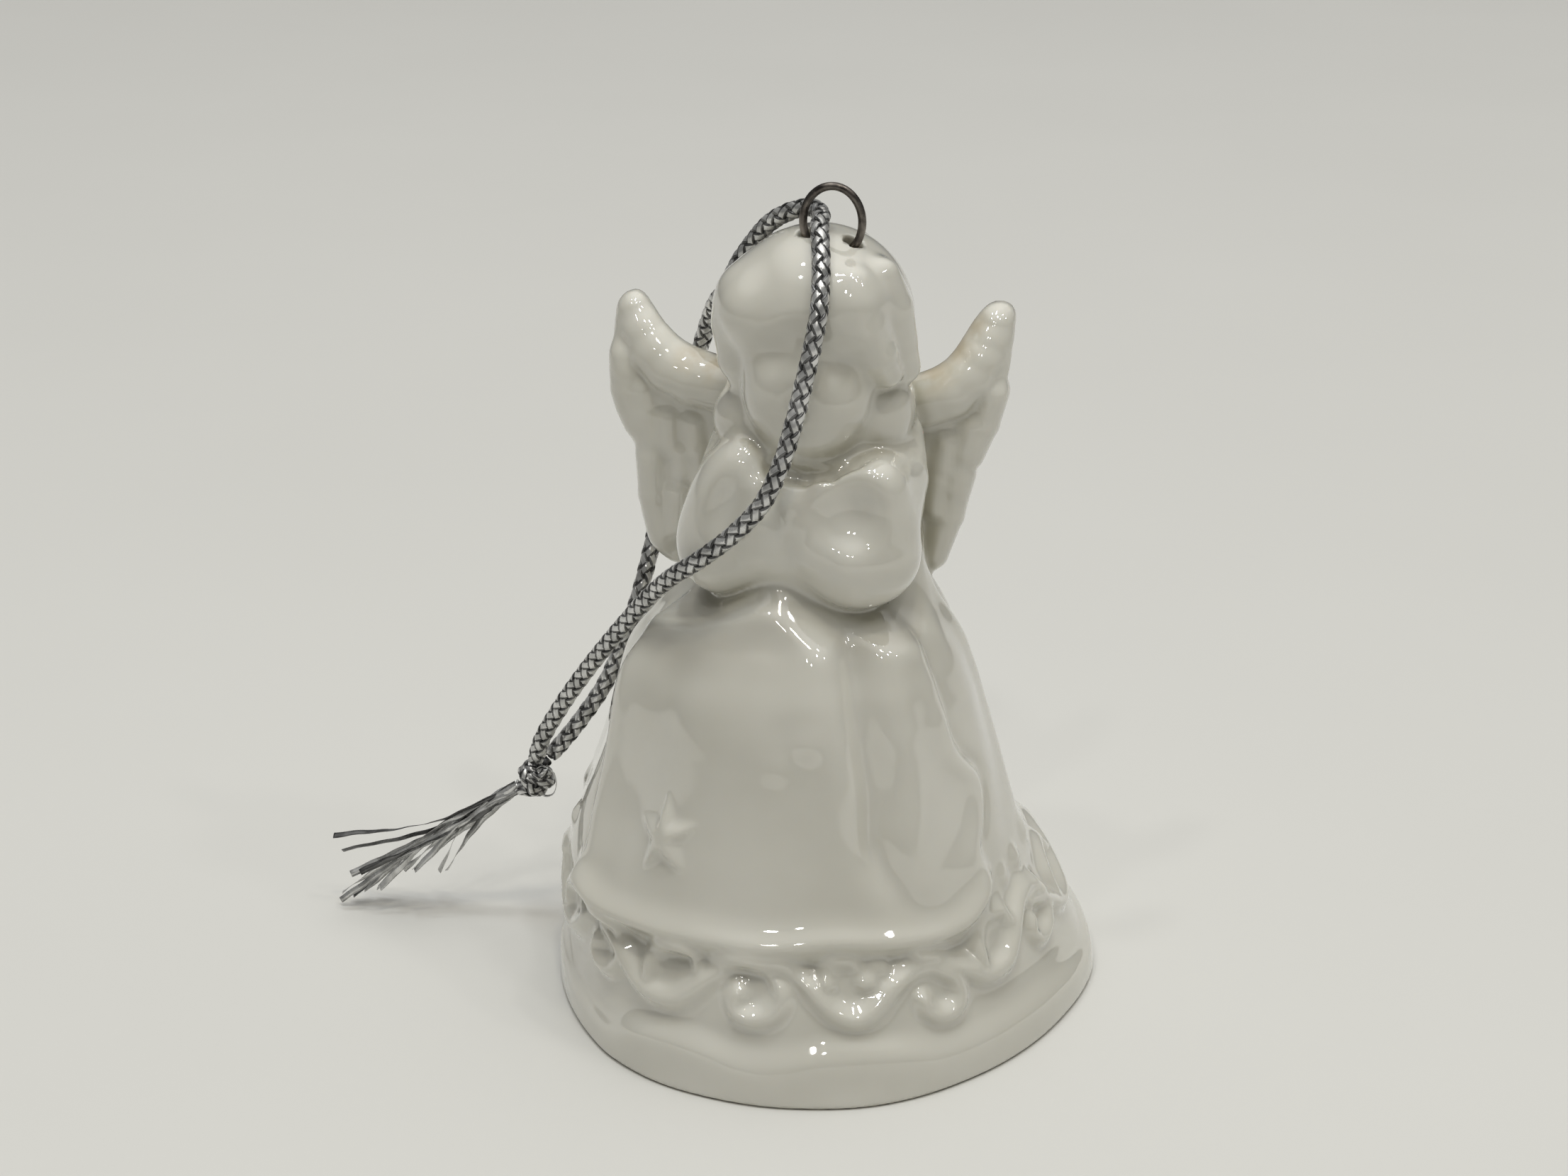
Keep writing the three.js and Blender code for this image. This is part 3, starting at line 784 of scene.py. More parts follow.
def panel_relief(angle, z):
    """The front panel: its raised edges, its soft hollow on one side and the deep fold on the other."""
    arc = np.radians(1) * DRESS_RADIUS(z)                       # mm for one degree
    from_left, from_right = (angle - PANEL_LEFT(z)) * arc, (PANEL_RIGHT(z) - angle) * arc
    above_roll = smoothstep(z, ROLL_LEVEL(angle) - 0.2, ROLL_LEVEL(angle) + 1.4)
    on_panel = smoothstep(from_left, -0.6, 0.6) * smoothstep(from_right, -0.9, 0.9)
    top_fade = 1 - smoothstep(z, 30.5, 33.5)
    height = 0.5 * on_panel * smoothstep(z, ROLL_LEVEL(angle) - 0.7, ROLL_LEVEL(angle) + 0.3) * top_fade
    height += 0.5 * bell_shape(from_left - 1.5, 1.25) * on_panel * above_roll * top_fade
    height += 0.3 * bell_shape(from_right - 1.3, 1.2) * on_panel * above_roll * top_fade
    height -= 0.32 * bell_shape(from_left + 0.6, 0.6) * above_roll * top_fade
    height -= 0.26 * bell_shape(from_right + 0.7, 0.7) * smoothstep(z, 15, 18) * top_fade
    hollow_fade = smoothstep(z, 13, 18) * (1 - smoothstep(z, 28, 32)) * on_panel
    height -= 0.7 * bell_shape((angle + 40) * arc, 2.8) * hollow_fade
    from_fold = (angle - FOLD(z)) * arc
    fold_fade = smoothstep(z, 10.5, 13.5) * (1 - smoothstep(z, 31, 34))
    height -= 1.25 * bell_shape(from_fold, 1.35) * fold_fade * smoothstep(z, 12, 18)
    height += 0.4 * bell_shape(from_fold + 2.9, 1.7) * fold_fade * smoothstep(z, 15, 24)
    height += 0.6 * bell_shape(from_fold - 2.9, 1.7) * fold_fade * smoothstep(z, 10, 20)
    return height, on_panel


def roll_relief(angle, z):
    """The raised roll under the panel, and the crease below it."""
    roll = ROLL_LEVEL(angle)
    in_front = smoothstep(angle, -62, -53) * (1 - smoothstep(angle, 58, 69))
    fuller = 1 + 0.5 * (1 - smoothstep(angle, -46, -28))
    height = 0.85 * fuller * bell_shape(z - roll, 1.15) * in_front
    return height - 0.42 * bell_shape(z - (roll - 1.85), 0.7) * in_front


def mantle_relief(angle, z, on_panel):
    """Loose upright folds round the sides and the back."""
    here = (1 - on_panel) * smoothstep(np.abs(angle), 50, 75)
    here *= smoothstep(z, 11.5, 16) * (1 - smoothstep(z, 31, 36))
    flow = angle + 6 * np.sin(z * 0.19)
    folds = 0.34 * np.cos(np.radians(flow * 15)) + 0.2 * np.cos(np.radians(flow * 8 + 70))
    far_side = smoothstep(np.abs(angle), 84, 104)
    return here * folds * (0.35 + 0.65 * far_side)


def dress_relief(angle, z):
    """Everything raised on or sunk in the dress, over its plain radius."""
    panel, on_panel = panel_relief(angle, z)
    height = RIM_SHAPE(angle) * (1 - smoothstep(z, 3, 15)) + panel
    height += roll_relief(angle, z) + star_relief(angle, z) + mantle_relief(angle, z, on_panel)
    height -= 0.3 * smoothstep(z, 3.4, 5.4) * (1 - smoothstep(z, 9.8, 11.4))
    height += border_relief(angle, z)
    below_hem = HEM_TOP(angle) - z
    height += 0.55 * smoothstep(below_hem, -0.7, 1.1) * (1 - 0.45 * smoothstep(below_hem, 1.2, 4.2))
    height += lump_relief(angle, z, SIDE_LUMPS + PANEL_LUMPS)
    in_front = 1 - smoothstep(np.abs(angle + 4), 62, 92)
    above_shelf = z - WAIST_LEVEL(angle)
    height += 0.22 * bell_shape(above_shelf + 2.1, 1.2) * in_front
    height -= 1.6 * smoothstep(above_shelf, -2.2, 0.6) * in_front * (1 - smoothstep(z, 38, 42))
    return height


DRESS_RELIEF = Relief(dress_relief, -1.0, 40.0)


RELIEF_REACH = 4                 # the relief counts only this near the plain surface


def flared(beyond, radius_of, z):
    """Distance to a round wall, from how far beyond its radius a point is, where it widens with height."""
    slope = (radius_of(z + 0.4) - radius_of(z - 0.4)) / 0.8
    return beyond / np.sqrt(1 + slope**2)


def dress(points):
    """Distance to the outside of the dress, up to where the shoulders take over."""
    x, y, z = points.T
    x = x - DRESS_LEAN(z)
    beyond = np.hypot(x, y) - DRESS_RADIUS(z)
    angle = np.degrees(np.arctan2(x, -y))
    near = np.abs(beyond) < RELIEF_REACH
    beyond[near] -= DRESS_RELIEF.at(angle[near], z[near])
    return cut(flared(beyond, DRESS_RADIUS, z), DRESS_TOP - z, 0.6)


def hollow(points):
    """Distance to the hollow inside the dress and the head."""
    x, y, z = points.T
    beyond = np.hypot(x - HOLLOW_LEAN(z), y - HOLLOW_SET_BACK(z)) - HOLLOW_RADIUS(z)
    return np.maximum(flared(beyond, HOLLOW_RADIUS, z), z - HOLLOW_TOP)


# ---------------------------------------------------------------- head, sleeves and hands

# Each lump: centre, half sizes, how softly it joins what is there, and its tilt if it has one.
BODY_LUMPS = [
    ((-1.0, 0.4, 42.4), (7.8, 6.2, 5.8), 1.6),          # shoulders
    ((-0.7, 1.0, 47.2), (6.9, 5.2, 5.4), 1.6),          # neck and the hair behind it
    ((3.3, -1.3, 47.6), (3.1, 3.0, 3.2), 1.6),          # the hair on its left shoulder
    ((-5.2, -1.6, 46.6), (3.2, 3.0, 2.6), 1.6),         # and at its right
]
HAIR_LUMPS = [
    ((-0.8, 0.15, 53.9), (7.05, 7.15, 6.9), 1.0),       # the crown and the back of the head
    ((-5.3, -1.4, 55.3), (2.8, 4.6, 2.8), 1.5),         # the full edge of the fringe on its right
    ((1.9, -2.85, 56.3), (2.8, 3.3, 2.6), 1.4),         # and, lower, on its left
]
# Each ridge of hair, arm or sleeve: its points, and its radius at each.
LOCKS = [
    ([(-6.2, -1.8, 56.2), (-6.7, -2.2, 53.6), (-6.35, -2.4, 51.2), (-5.6, -2.3, 49.4)], [1.4, 1.5, 1.5, 1.3]),
    ([(2.5, -4.3, 57.8), (2.8, -5.0, 56.3), (3.4, -4.9, 54.6), (4.3, -4.3, 52.6), (4.9, -3.4, 51.0)],
     [0.9, 1.1, 1.25, 1.25, 1.0]),
    ([(4.3, -1.9, 58.0), (4.9, -1.6, 55.3), (5.3, -1.4, 52.7), (5.6, -1.2, 50.9)], [1.0, 1.3, 1.3, 1.35]),
]
# What is cut away in front of the face: centre and half sizes.
FACE_OPENING = ((-1.1, -9.2, 50.4), (5.0, 4.2, 6.2))
FACE_LUMPS = [
    ((-0.95, -2.2, 50.2), (4.75, 4.7, 5.8), 0.7),       # the face
    ((-1.1, -3.1, 52.8), (4.2, 3.1, 3.0), 1.2),         # brow
    ((-1.3, -3.4, 48.3), (3.6, 3.4, 3.3), 1.4),         # jaw
    ((-2.9, -4.5, 49.7), (2.3, 2.4, 2.9), 1.6),         # cheeks
    ((0.9, -4.7, 49.2), (2.6, 2.5, 2.5), 1.6),
    ((-0.7, -4.8, 47.0), (2.8, 2.0, 2.1), 1.4),         # chin
    ((-0.9, -6.7, 50.7), (0.6, 0.8, 1.1), 1.2),         # nose
    ((-0.9, -6.7, 48.4), (1.2, 0.4, 0.35), 0.8),        # lips
]
FACE_HOLLOWS = [
    ((-3.4, -7.5, 53.0), (1.8, 1.2, 0.9), 1.2),         # eyes
    ((2.0, -7.4, 52.6), (1.6, 1.3, 1.1), 1.2),
]
# The groove between the chin and the collar.
UNDER_CHIN = [(-2.9, -6.3, 44.4), (-1.8, -6.7, 44.0), (-0.5, -6.8, 43.9), (1.2, -6.8, 44.3),
              (2.9, -6.2, 45.2), (4.4, -5.2, 46.4)]
UNDER_CHIN_RADIUS = 0.55
# Its left sleeve: centre, half sizes, rounding and tilt.
SLEEVE_BLOCK = ((2.9, -4.3, 40.1), (4.3, 4.0, 5.0), 2.6, (0, -7, 0))
SLEEVE_LUMPS = [
    ((-6.8, -4.5, 40.8), (3.0, 3.8, 5.6), 0.9, (0, 20, 0)),     # its right sleeve
    ((-7.1, -4.5, 37.2), (3.2, 3.7, 3.6), 1.8),
    ((3.1, -5.1, 37.2), (4.1, 4.1, 3.8), 1.6),          # the full lower edge of its left sleeve
    ((-3.2, -4.7, 38.9), (4.6, 3.9, 4.2), 2.0),         # the front between the two
]
SLEEVE_HOLLOWS = [
    ((-6.6, -10.0, 42.3), (1.3, 2.3, 3.0), 1.5, (0, 14, 0)),
    ((3.3, -10.2, 42.2), (2.4, 2.9, 2.4), 1.6),
]
ARMS = [
    ([(5.0, 1.6, 44.4), (5.4, -1.4, 42.2), (4.8, -4.8, 40.4)], [1.8, 2.2, 2.4]),
    ([(-6.5, 1.6, 44.4), (-7.0, -1.2, 42.4), (-6.4, -4.4, 40.6)], [1.8, 2.2, 2.4]),
]
SLEEVE_RIDGES = [
    ([(-1.6, -6.4, 43.0), (-1.2, -7.0, 41.8), (-0.6, -7.2, 40.4), (0.5, -7.2, 38.6)], [0.9, 1.3, 1.4, 1.5]),
    ([(0.7, -7.5, 38.6), (2.9, -7.7, 37.9), (5.0, -6.3, 37.6)], [1.4, 1.65, 1.65]),
    ([(-4.9, -5.6, 44.6), (-4.2, -6.8, 42.8), (-3.8, -7.4, 40.6), (-3.9, -7.3, 38.6)], [0.7, 0.9, 1.0, 1.2]),
]
NEAR = 2.2                       # a shape is left out further than this from its surface
FAR = 50.0                       # a distance to start from, where nothing is yet
BACK_LOCKS = 4
BACK_LOCK_FIRST, BACK_LOCK_GAP = 56, 24      # degrees from the figure's left; none lies under the cord
BACK_LOCK_WAVE = 6               # degrees to each side


def lumps(distance, points, shapes, take_out=False):
    """Joins ellipsoids to a distance, or takes them out of it, each only where it is near."""
    for centre, half, blend, *tilt in shapes:
        reach = max(half) + blend + NEAR
        near = (np.abs(points - np.array(centre)) < reach).all(axis=1)
        if near.any():
            shape = ellipsoid(points[near], centre, half, *tilt)
            distance[near] = (cut if take_out else join)(distance[near], shape, blend)
    return distance


def ridges(distance, points, lines, blend):
    """Joins round tapering ridges to a distance."""
    for line, radii in lines:
        line = np.array(line)
        reach = max(radii) + blend + NEAR
        near = ((points > line.min(0) - reach) & (points < line.max(0) + reach)).all(axis=1)
        if near.any():
            distance[near] = join(distance[near], limb(points[near], line, radii), blend)
    return distance


def block(points, centre, half, rounding, tilt):
    """Distance to a box with well rounded edges."""
    local = np.abs(turned(points - np.array(centre), tilt)) - (np.array(half) - rounding)
    return np.linalg.norm(np.maximum(local, 0), axis=1) + np.minimum(local.max(axis=1), 0) - rounding


def back_locks():
    """Soft wavy locks from the crown down the back of the head."""
    lines = []
    middle, half = np.array(HAIR_LUMPS[0][0]), np.array(HAIR_LUMPS[0][1])
    for number in range(BACK_LOCKS):
        line = []
        for level in range(7):
            wave = BACK_LOCK_WAVE * math.sin(1.1 * level + 2 * number)
            turn = math.radians(BACK_LOCK_FIRST + BACK_LOCK_GAP * number + wave)
            fall = math.radians(42 + 13 * level)
            way = (math.sin(fall) * math.cos(turn), math.sin(fall) * math.sin(turn), math.cos(fall))
            line.append(middle + 0.93 * half * way)
        line = smooth_path(line, 0.7)
        lines.append((line, 0.5 + 0.55 * np.sin(np.linspace(0.2, 2.6, len(line)))))
    return lines


def head(points):
    """Distance to the head: the hair, and the face in its opening."""
    distance = lumps(np.full(len(points), FAR), points, HAIR_LUMPS)
    distance = ridges(distance, points, back_locks(), 0.9)
    distance = cut(distance, ellipsoid(points, *FACE_OPENING), 1.0)
    distance = ridges(distance, points, LOCKS, 1.1)
    distance = lumps(distance, points, FACE_LUMPS)
    return lumps(distance, points, FACE_HOLLOWS, take_out=True)


def upper_body(points):
    """Distance to the shoulders, the arms and the full sleeves with the joined hands."""
    distance = lumps(np.full(len(points), FAR), points, BODY_LUMPS)
    distance = join(distance, block(points, *SLEEVE_BLOCK), 0.8)
    distance = lumps(distance, points, SLEEVE_LUMPS)
    distance = ridges(distance, points, ARMS, 1.4)
    distance = ridges(distance, points, SLEEVE_RIDGES, 1.1)
    return lumps(distance, points, SLEEVE_HOLLOWS, take_out=True)


# ---------------------------------------------------------------- the wings

# Each wing as seen from the front: its outline, its thick leading edge, and the soft feather lumps on it.
RIGHT_WING = {
    "outline": [
        (-4, 46.5), (-8.0, 48.3), (-10.2, 48.9), (-11.3, 49.2), (-12.6, 49.8), (-13.9, 50.9), (-15.1, 52.4),
        (-15.8, 53.2), (-16.6, 53.45), (-17.3, 53.1), (-17.75, 52.3), (-17.9, 50.3), (-17.9, 47.2),
        (-17.85, 45.0), (-17.5, 43.7), (-16.7, 42.2), (-16.1, 41.0), (-15.8, 38.6), (-15.5, 35.4),
        (-14.7, 32.9), (-13.2, 31.6), (-10, 32.0), (-4, 35),
    ],
    "leading": ([(-16.5, 52.2), (-15.8, 50.7), (-14.7, 49.1), (-13.2, 47.75), (-11.3, 47.0), (-8.6, 46.5)],
                [1.1, 1.55, 1.85, 2.0, 2.1, 2.1]),
    "feathers": [
        ([(-17.0, 48.4), (-16.7, 45.6), (-15.8, 43.0)], 0.95),
        ([(-15.3, 45.6), (-15.0, 43.8), (-14.7, 41.8)], 0.75),
        ([(-14.8, 40.2), (-14.7, 37.2), (-13.9, 33.8)], 1.0),
        ([(-13.3, 43.6), (-13.2, 41.6)], 0.7),
        ([(-11.3, 43.4), (-11.2, 41.5)], 0.7),
        ([(-12.3, 40.8), (-12.2, 39.2)], 0.6),
        ([(-12.6, 37.6), (-12.6, 34.6)], 0.75),
        ([(-10.8, 40.8), (-10.7, 38.9)], 0.65),
    ],
}
LEFT_WING = {
    "outline": [
        (4, 45.5), (6.2, 48.0), (7.0, 48.55), (8.05, 49.4), (8.8, 50.6), (9.45, 51.9), (10.1, 53.0),
        (10.8, 53.8), (11.7, 54.1), (12.5, 53.85), (12.95, 53.2), (12.95, 52.3), (12.85, 50.8), (12.8, 49.2),
        (12.5, 47.3), (12.1, 45.3), (11.3, 43.4), (10.4, 41.0), (9.4, 38.0), (8.4, 34.9), (7.4, 32.4),
        (6, 32.5), (4, 35),
    ],
    "leading": ([(11.6, 52.6), (11.3, 51.4), (10.75, 50.0), (9.95, 48.6), (8.5, 47.2), (6.3, 46.3)],
                [1.25, 1.55, 1.85, 2.0, 2.1, 2.1]),
    "feathers": [
        ([(11.9, 47.0), (11.2, 44.4), (10.2, 42.0)], 0.85),
        ([(10.2, 44.4), (9.7, 42.4), (8.9, 39.8)], 0.8),
        ([(9.4, 40.2), (8.7, 37.0), (7.6, 33.8)], 0.9),
        ([(8.4, 43.2), (8.1, 41.2)], 0.65),
        ([(7.8, 40.0), (7.5, 37.8)], 0.65),
    ],
}
WING_SPINE_Y = 4.5
WING_SWEEP = 5.0                 # degrees
WING_HALF_THICKNESS = 1.0
WING_ROUNDING = 0.85             # of its edges
WING_LEAN = (46.5, 0.45)         # height from which a wing leans back, and how far for each mm above it
VIEW_DROP = 0.28                 # for each mm back, a line of sight falls by this: it keeps the outline true
LEADING_FLATTENING = 1.2         # how much thinner than wide the rolled leading edge is
LEADING_FORWARD = 0.45           # how far in front of the plate's middle it stands
FEATHER_RISE = 0.36              # of a feather above the plate


def wing(points, shape):
    """A plate with rounded edges, a thick rolled leading edge and feathers in low relief on both faces."""
    x, y, z = points.T
    sweep = math.radians(WING_SWEEP)
    above = np.maximum(z - WING_LEAN[0], 0)
    back = WING_LEAN[1] * (np.sqrt(above**2 + 1) - 1)
    z = z + VIEW_DROP * back
    through = (y - back - WING_SPINE_Y - np.abs(x) * math.tan(sweep)) * math.cos(sweep)
    edge = smooth_path([(a, b, 0) for a, b in shape["outline"] + shape["outline"][:1]], 0.5)[:-1, :2]
    inward = outline_distance(x, z, edge) + WING_ROUNDING
    deep = np.abs(through) - WING_HALF_THICKNESS + WING_ROUNDING
    distance = (np.minimum(np.maximum(inward, deep), 0)
                + np.hypot(np.maximum(inward, 0), np.maximum(deep, 0)) - WING_ROUNDING)
    local = np.stack([x, through, z], axis=1)
    line, radii = shape["leading"]
    squashed = np.stack([x, (through + LEADING_FORWARD) * LEADING_FLATTENING, z], axis=1)
    roll = limb(squashed, [(a, 0, b) for a, b in line], radii) / LEADING_FLATTENING**0.5
    distance = join(distance, roll, 0.35)
    for line, radius in shape["feathers"]:
        for face in (-1, 1):
            centre = face * (WING_HALF_THICKNESS + FEATHER_RISE - radius)
            feather = limb(local, [(a, centre, b) for a, b in line], [radius] * len(line))
            distance = join(distance, feather, 0.8)
    return distance


# ---------------------------------------------------------------- the ring's line and its holes

ring_low, ring_high = box_mm("hanging_ring")
RING_WIRE = ring_high[1] - ring_low[1]
RING_X = (ring_low[0] + ring_high[0]) / 2
RING_Y = (ring_low[1] + ring_high[1]) / 2
RING_HALF_WIDTH = (ring_high[0] - ring_low[0] - RING_WIRE) / 2
RING_HALF_HEIGHT = 2.6
RING_MIDDLE = ring_high[2] - RING_WIRE / 2 - RING_HALF_HEIGHT
RING_FOOT = ring_low[2] + RING_WIRE / 2
RING_FOOT_RADIUS = 1.2
RING_LIFT = next(j["range_m"][1] for j in frame["joints"] if j["name"] == "ring_lift") / MM
HOLE_CLEARANCE = 0.2


def ring_line():
    """Round above the crown, in through the two holes, and closed by a bend below them."""
    foot = (RING_X, RING_Y, RING_FOOT + RING_FOOT_RADIUS)
    top = (RING_X, RING_Y, RING_MIDDLE)
    return (bend(foot, RING_FOOT_RADIUS, RING_FOOT_RADIUS, range(255, 179, -25))
            + bend(top, RING_HALF_WIDTH, RING_HALF_HEIGHT, range(228, -49, -12))
            + bend(foot, RING_FOOT_RADIUS, RING_FOOT_RADIUS, range(0, -91, -18)))


RING_LINE = smooth_path(ring_line(), 0.1)
RING_CHANNEL = RING_LINE[::6]
SLEEVES_FROM, HEAD_FROM = 29, 42             # nothing of the sleeves and wings, or of the head, is below
BODY_BLEND, WING_BLEND = 0.7, 0.6            # how softly the parts of the casting run into each other
RIM_ROUNDING, HOLE_ROUNDING = 0.5, 0.25      # of the rim and of the holes' edges


def figure(points):
    """Signed distance to the whole casting."""
    z = points[:, 2]
    distance = dress(points)
    high = z > SLEEVES_FROM
    if high.any():
        upper = points[high]
        found = join(distance[high], upper_body(upper), BODY_BLEND)
        for side, shape in ((-1, RIGHT_WING), (1, LEFT_WING)):
            near = (side * upper[:, 0] > 2) & (upper[:, 1] > 1) & (upper[:, 1] < 13)
            if near.any():
                found[near] = join(found[near], wing(upper[near], shape), WING_BLEND)
        over = upper[:, 2] > HEAD_FROM
        if over.any():
            found[over] = join(found[over], head(upper[over]), BODY_BLEND)
            groove = limb(upper[over], UNDER_CHIN, [UNDER_CHIN_RADIUS] * len(UNDER_CHIN))
            found[over] = cut(found[over], groove, 0.8)
        distance[high] = found
    distance = cut(distance, hollow(points), RIM_ROUNDING)
    crown = (np.abs(points - (RING_X, RING_Y, 60)) < (5, 3, 5)).all(axis=1)
    if crown.any():
        for lift in (0.0, RING_LIFT / 2, RING_LIFT):
            line = RING_CHANNEL + [0, 0, lift]
            radius = RING_WIRE / 2 + HOLE_CLEARANCE
            hole = limb(points[crown], line, [radius] * len(line))
            distance[crown] = cut(distance[crown], hole, HOLE_ROUNDING)
    return cut(distance, z, RIM_ROUNDING)


# ---------------------------------------------------------------- a mesh from a distance

VOXEL = 0.3
COARSE = 4                       # voxels in a side of the blocks that are looked at first
BATCH = 120000                   # points worked out at a time
UNKNOWN = 99.0                   # stands for a distance that is too far away to be worked out
GRADIENT_STEP = 0.04
SETTLING_ROUNDS = 2


def field(distance, points):
    """A distance at many points, in batches that fit in memory."""
    return np.concatenate([distance(points[i:i + BATCH]) for i in range(0, len(points), BATCH)])


def sampled(distance, low, high):
    """The distance at each corner of a grid of voxels, worked out only near the surface."""
    block = VOXEL * COARSE
    blocks = np.ceil((high - low) / block).astype(int)
    index = np.stack(np.meshgrid(*[np.arange(n) for n in blocks], indexing="ij"), -1).reshape(-1, 3)
    middle = field(distance, low + (index + 0.5) * block)
    spread = np.where(middle < 0, -UNKNOWN, UNKNOWN).reshape(blocks)
    for axis in range(3):
        spread = np.repeat(spread, COARSE, axis=axis)
    values = np.full(blocks * COARSE + 1, UNKNOWN)
    values[:-1, :-1, :-1] = spread
    kept = index[np.abs(middle) < 1.5 * block] * COARSE
    wanted = np.zeros(values.shape, bool)
    for offset in np.ndindex(COARSE + 1, COARSE + 1, COARSE + 1):
        wanted[tuple((kept + offset).T)] = True
    values[wanted] = field(distance, low + np.argwhere(wanted) * VOXEL)
    return values


def crossing_points(values, cell):
    """The middle of the places where the surface crosses the edges of each cell, in voxels."""
    total, hits = np.zeros((len(cell), 3)), np.zeros(len(cell))
    for axis in range(3):
        for offset in np.ndindex(2, 2, 2):
            if offset[axis]:
                continue
            other = tuple(o + (i == axis) for i, o in enumerate(offset))
            a, b = (values[tuple((cell + o).T)] for o in (offset, other))
            crossed = (a < 0) != (b < 0)
            spot = cell + np.array(offset, float)
            spot[:, axis] += np.where(crossed, a / np.where(crossed, a - b, 1), 0)
            total[crossed] += spot[crossed]
            hits += crossed
    return total / hits[:, None]


def crossing_quads(inside, number):
    """A quad round each grid edge that the surface crosses, from the four cells that share the edge."""
    quads = []
    for axis in range(3):
        u, v = (axis + 1) % 3, (axis + 2) % 3
        first = [slice(1, n) for n in number.shape]
        first[axis] = slice(0, number.shape[axis])
        second = list(first)
        second[axis] = slice(1, number.shape[axis] + 1)
        a, b = inside[tuple(first)], inside[tuple(second)]
        edges = np.argwhere(a != b) + [0 if i == axis else 1 for i in range(3)]
        around = []
        for du, dv in ((-1, -1), (0, -1), (0, 0), (-1, 0)):
            spot = edges.copy()
            spot[:, u] += du
            spot[:, v] += dv
            around.append(number[tuple(spot.T)])
        quad = np.stack(around, 1)
        inward = ~inside[tuple(edges.T)]
        quad[inward] = quad[inward][:, ::-1]
        quads.append(quad)
    return np.vstack(quads)


def surface_mesh(distance, low, high):
    """Quads on the zero surface of a distance: one point in each cell that the surface crosses."""
    values = sampled(distance, low, high)
    inside = values < 0
    cells = np.array(values.shape) - 1
    count = np.zeros(cells, np.int8)
    for offset in np.ndindex(2, 2, 2):
        count += inside[tuple(slice(o, o + n) for o, n in zip(offset, cells))]
    cell = np.argwhere((count > 0) & (count < 8))
    number = np.full(cells, -1)
    number[tuple(cell.T)] = np.arange(len(cell))
    return low + crossing_points(values, cell) * VOXEL, crossing_quads(inside, number)


def slopes(distance, points):
    """Gradient of a distance, from four samples round each point."""
    total = 0
    for corner in ((1, -1, -1), (-1, -1, 1), (-1, 1, -1), (1, 1, 1)):
        corner = np.array(corner, float)
        total = total + corner * field(distance, points + corner * GRADIENT_STEP)[:, None]
    return total / (4 * GRADIENT_STEP)


def relaxed(points, quads):
    """Each point moved half way to the middle of its neighbours, to even the mesh out."""
    total, count = np.zeros_like(points), np.zeros(len(points))
    for a, b in ((0, 1), (1, 2), (2, 3), (3, 0)):
        for p, q in ((quads[:, a], quads[:, b]), (quads[:, b], quads[:, a])):
            for axis in range(3):
                total[:, axis] += np.bincount(p, points[q, axis], len(points))
            count += np.bincount(p, minlength=len(points))
    return 0.5 * points + 0.5 * total / count[:, None]


def settled(distance, points, quads):
    """The points evened out and brought exactly onto the surface, with its normals."""
    for _ in range(SETTLING_ROUNDS):
        points = relaxed(points, quads)
        slope = slopes(distance, points)
        level = field(distance, points)
        step = level / np.maximum((slope**2).sum(1), 0.05)
        points = points - slope * np.clip(step, -VOXEL, VOXEL)[:, None]
    return points, unit(slopes(distance, points))


# ---------------------------------------------------------------- the porcelain

# Where the glaze has gone tan beside the wings, each as a point and how far the mark reaches.
TAN_MARKS = [((-11.3, 4.9, 48.6), 2.2), ((-9.4, 4.2, 48.8), 2.8), ((9.7, 6.2, 52.2), 1.9),
             ((8.7, 5.4, 50.6), 2.4), ((7.0, 4.4, 48.8), 2.9)]
CROWN_LEVEL = 60.6               # the height at which the ring goes in through the crown
HOLE_MARKS = [(tuple(min((p for p in RING_LINE if side * (p[0] - RING_X) >= 0),
                         key=lambda p: abs(p[2] - CROWN_LEVEL))), 0.75) for side in (-1, 1)]
FOOT_TOP = 0.24                  # the bare edge that it stands on reaches this far up


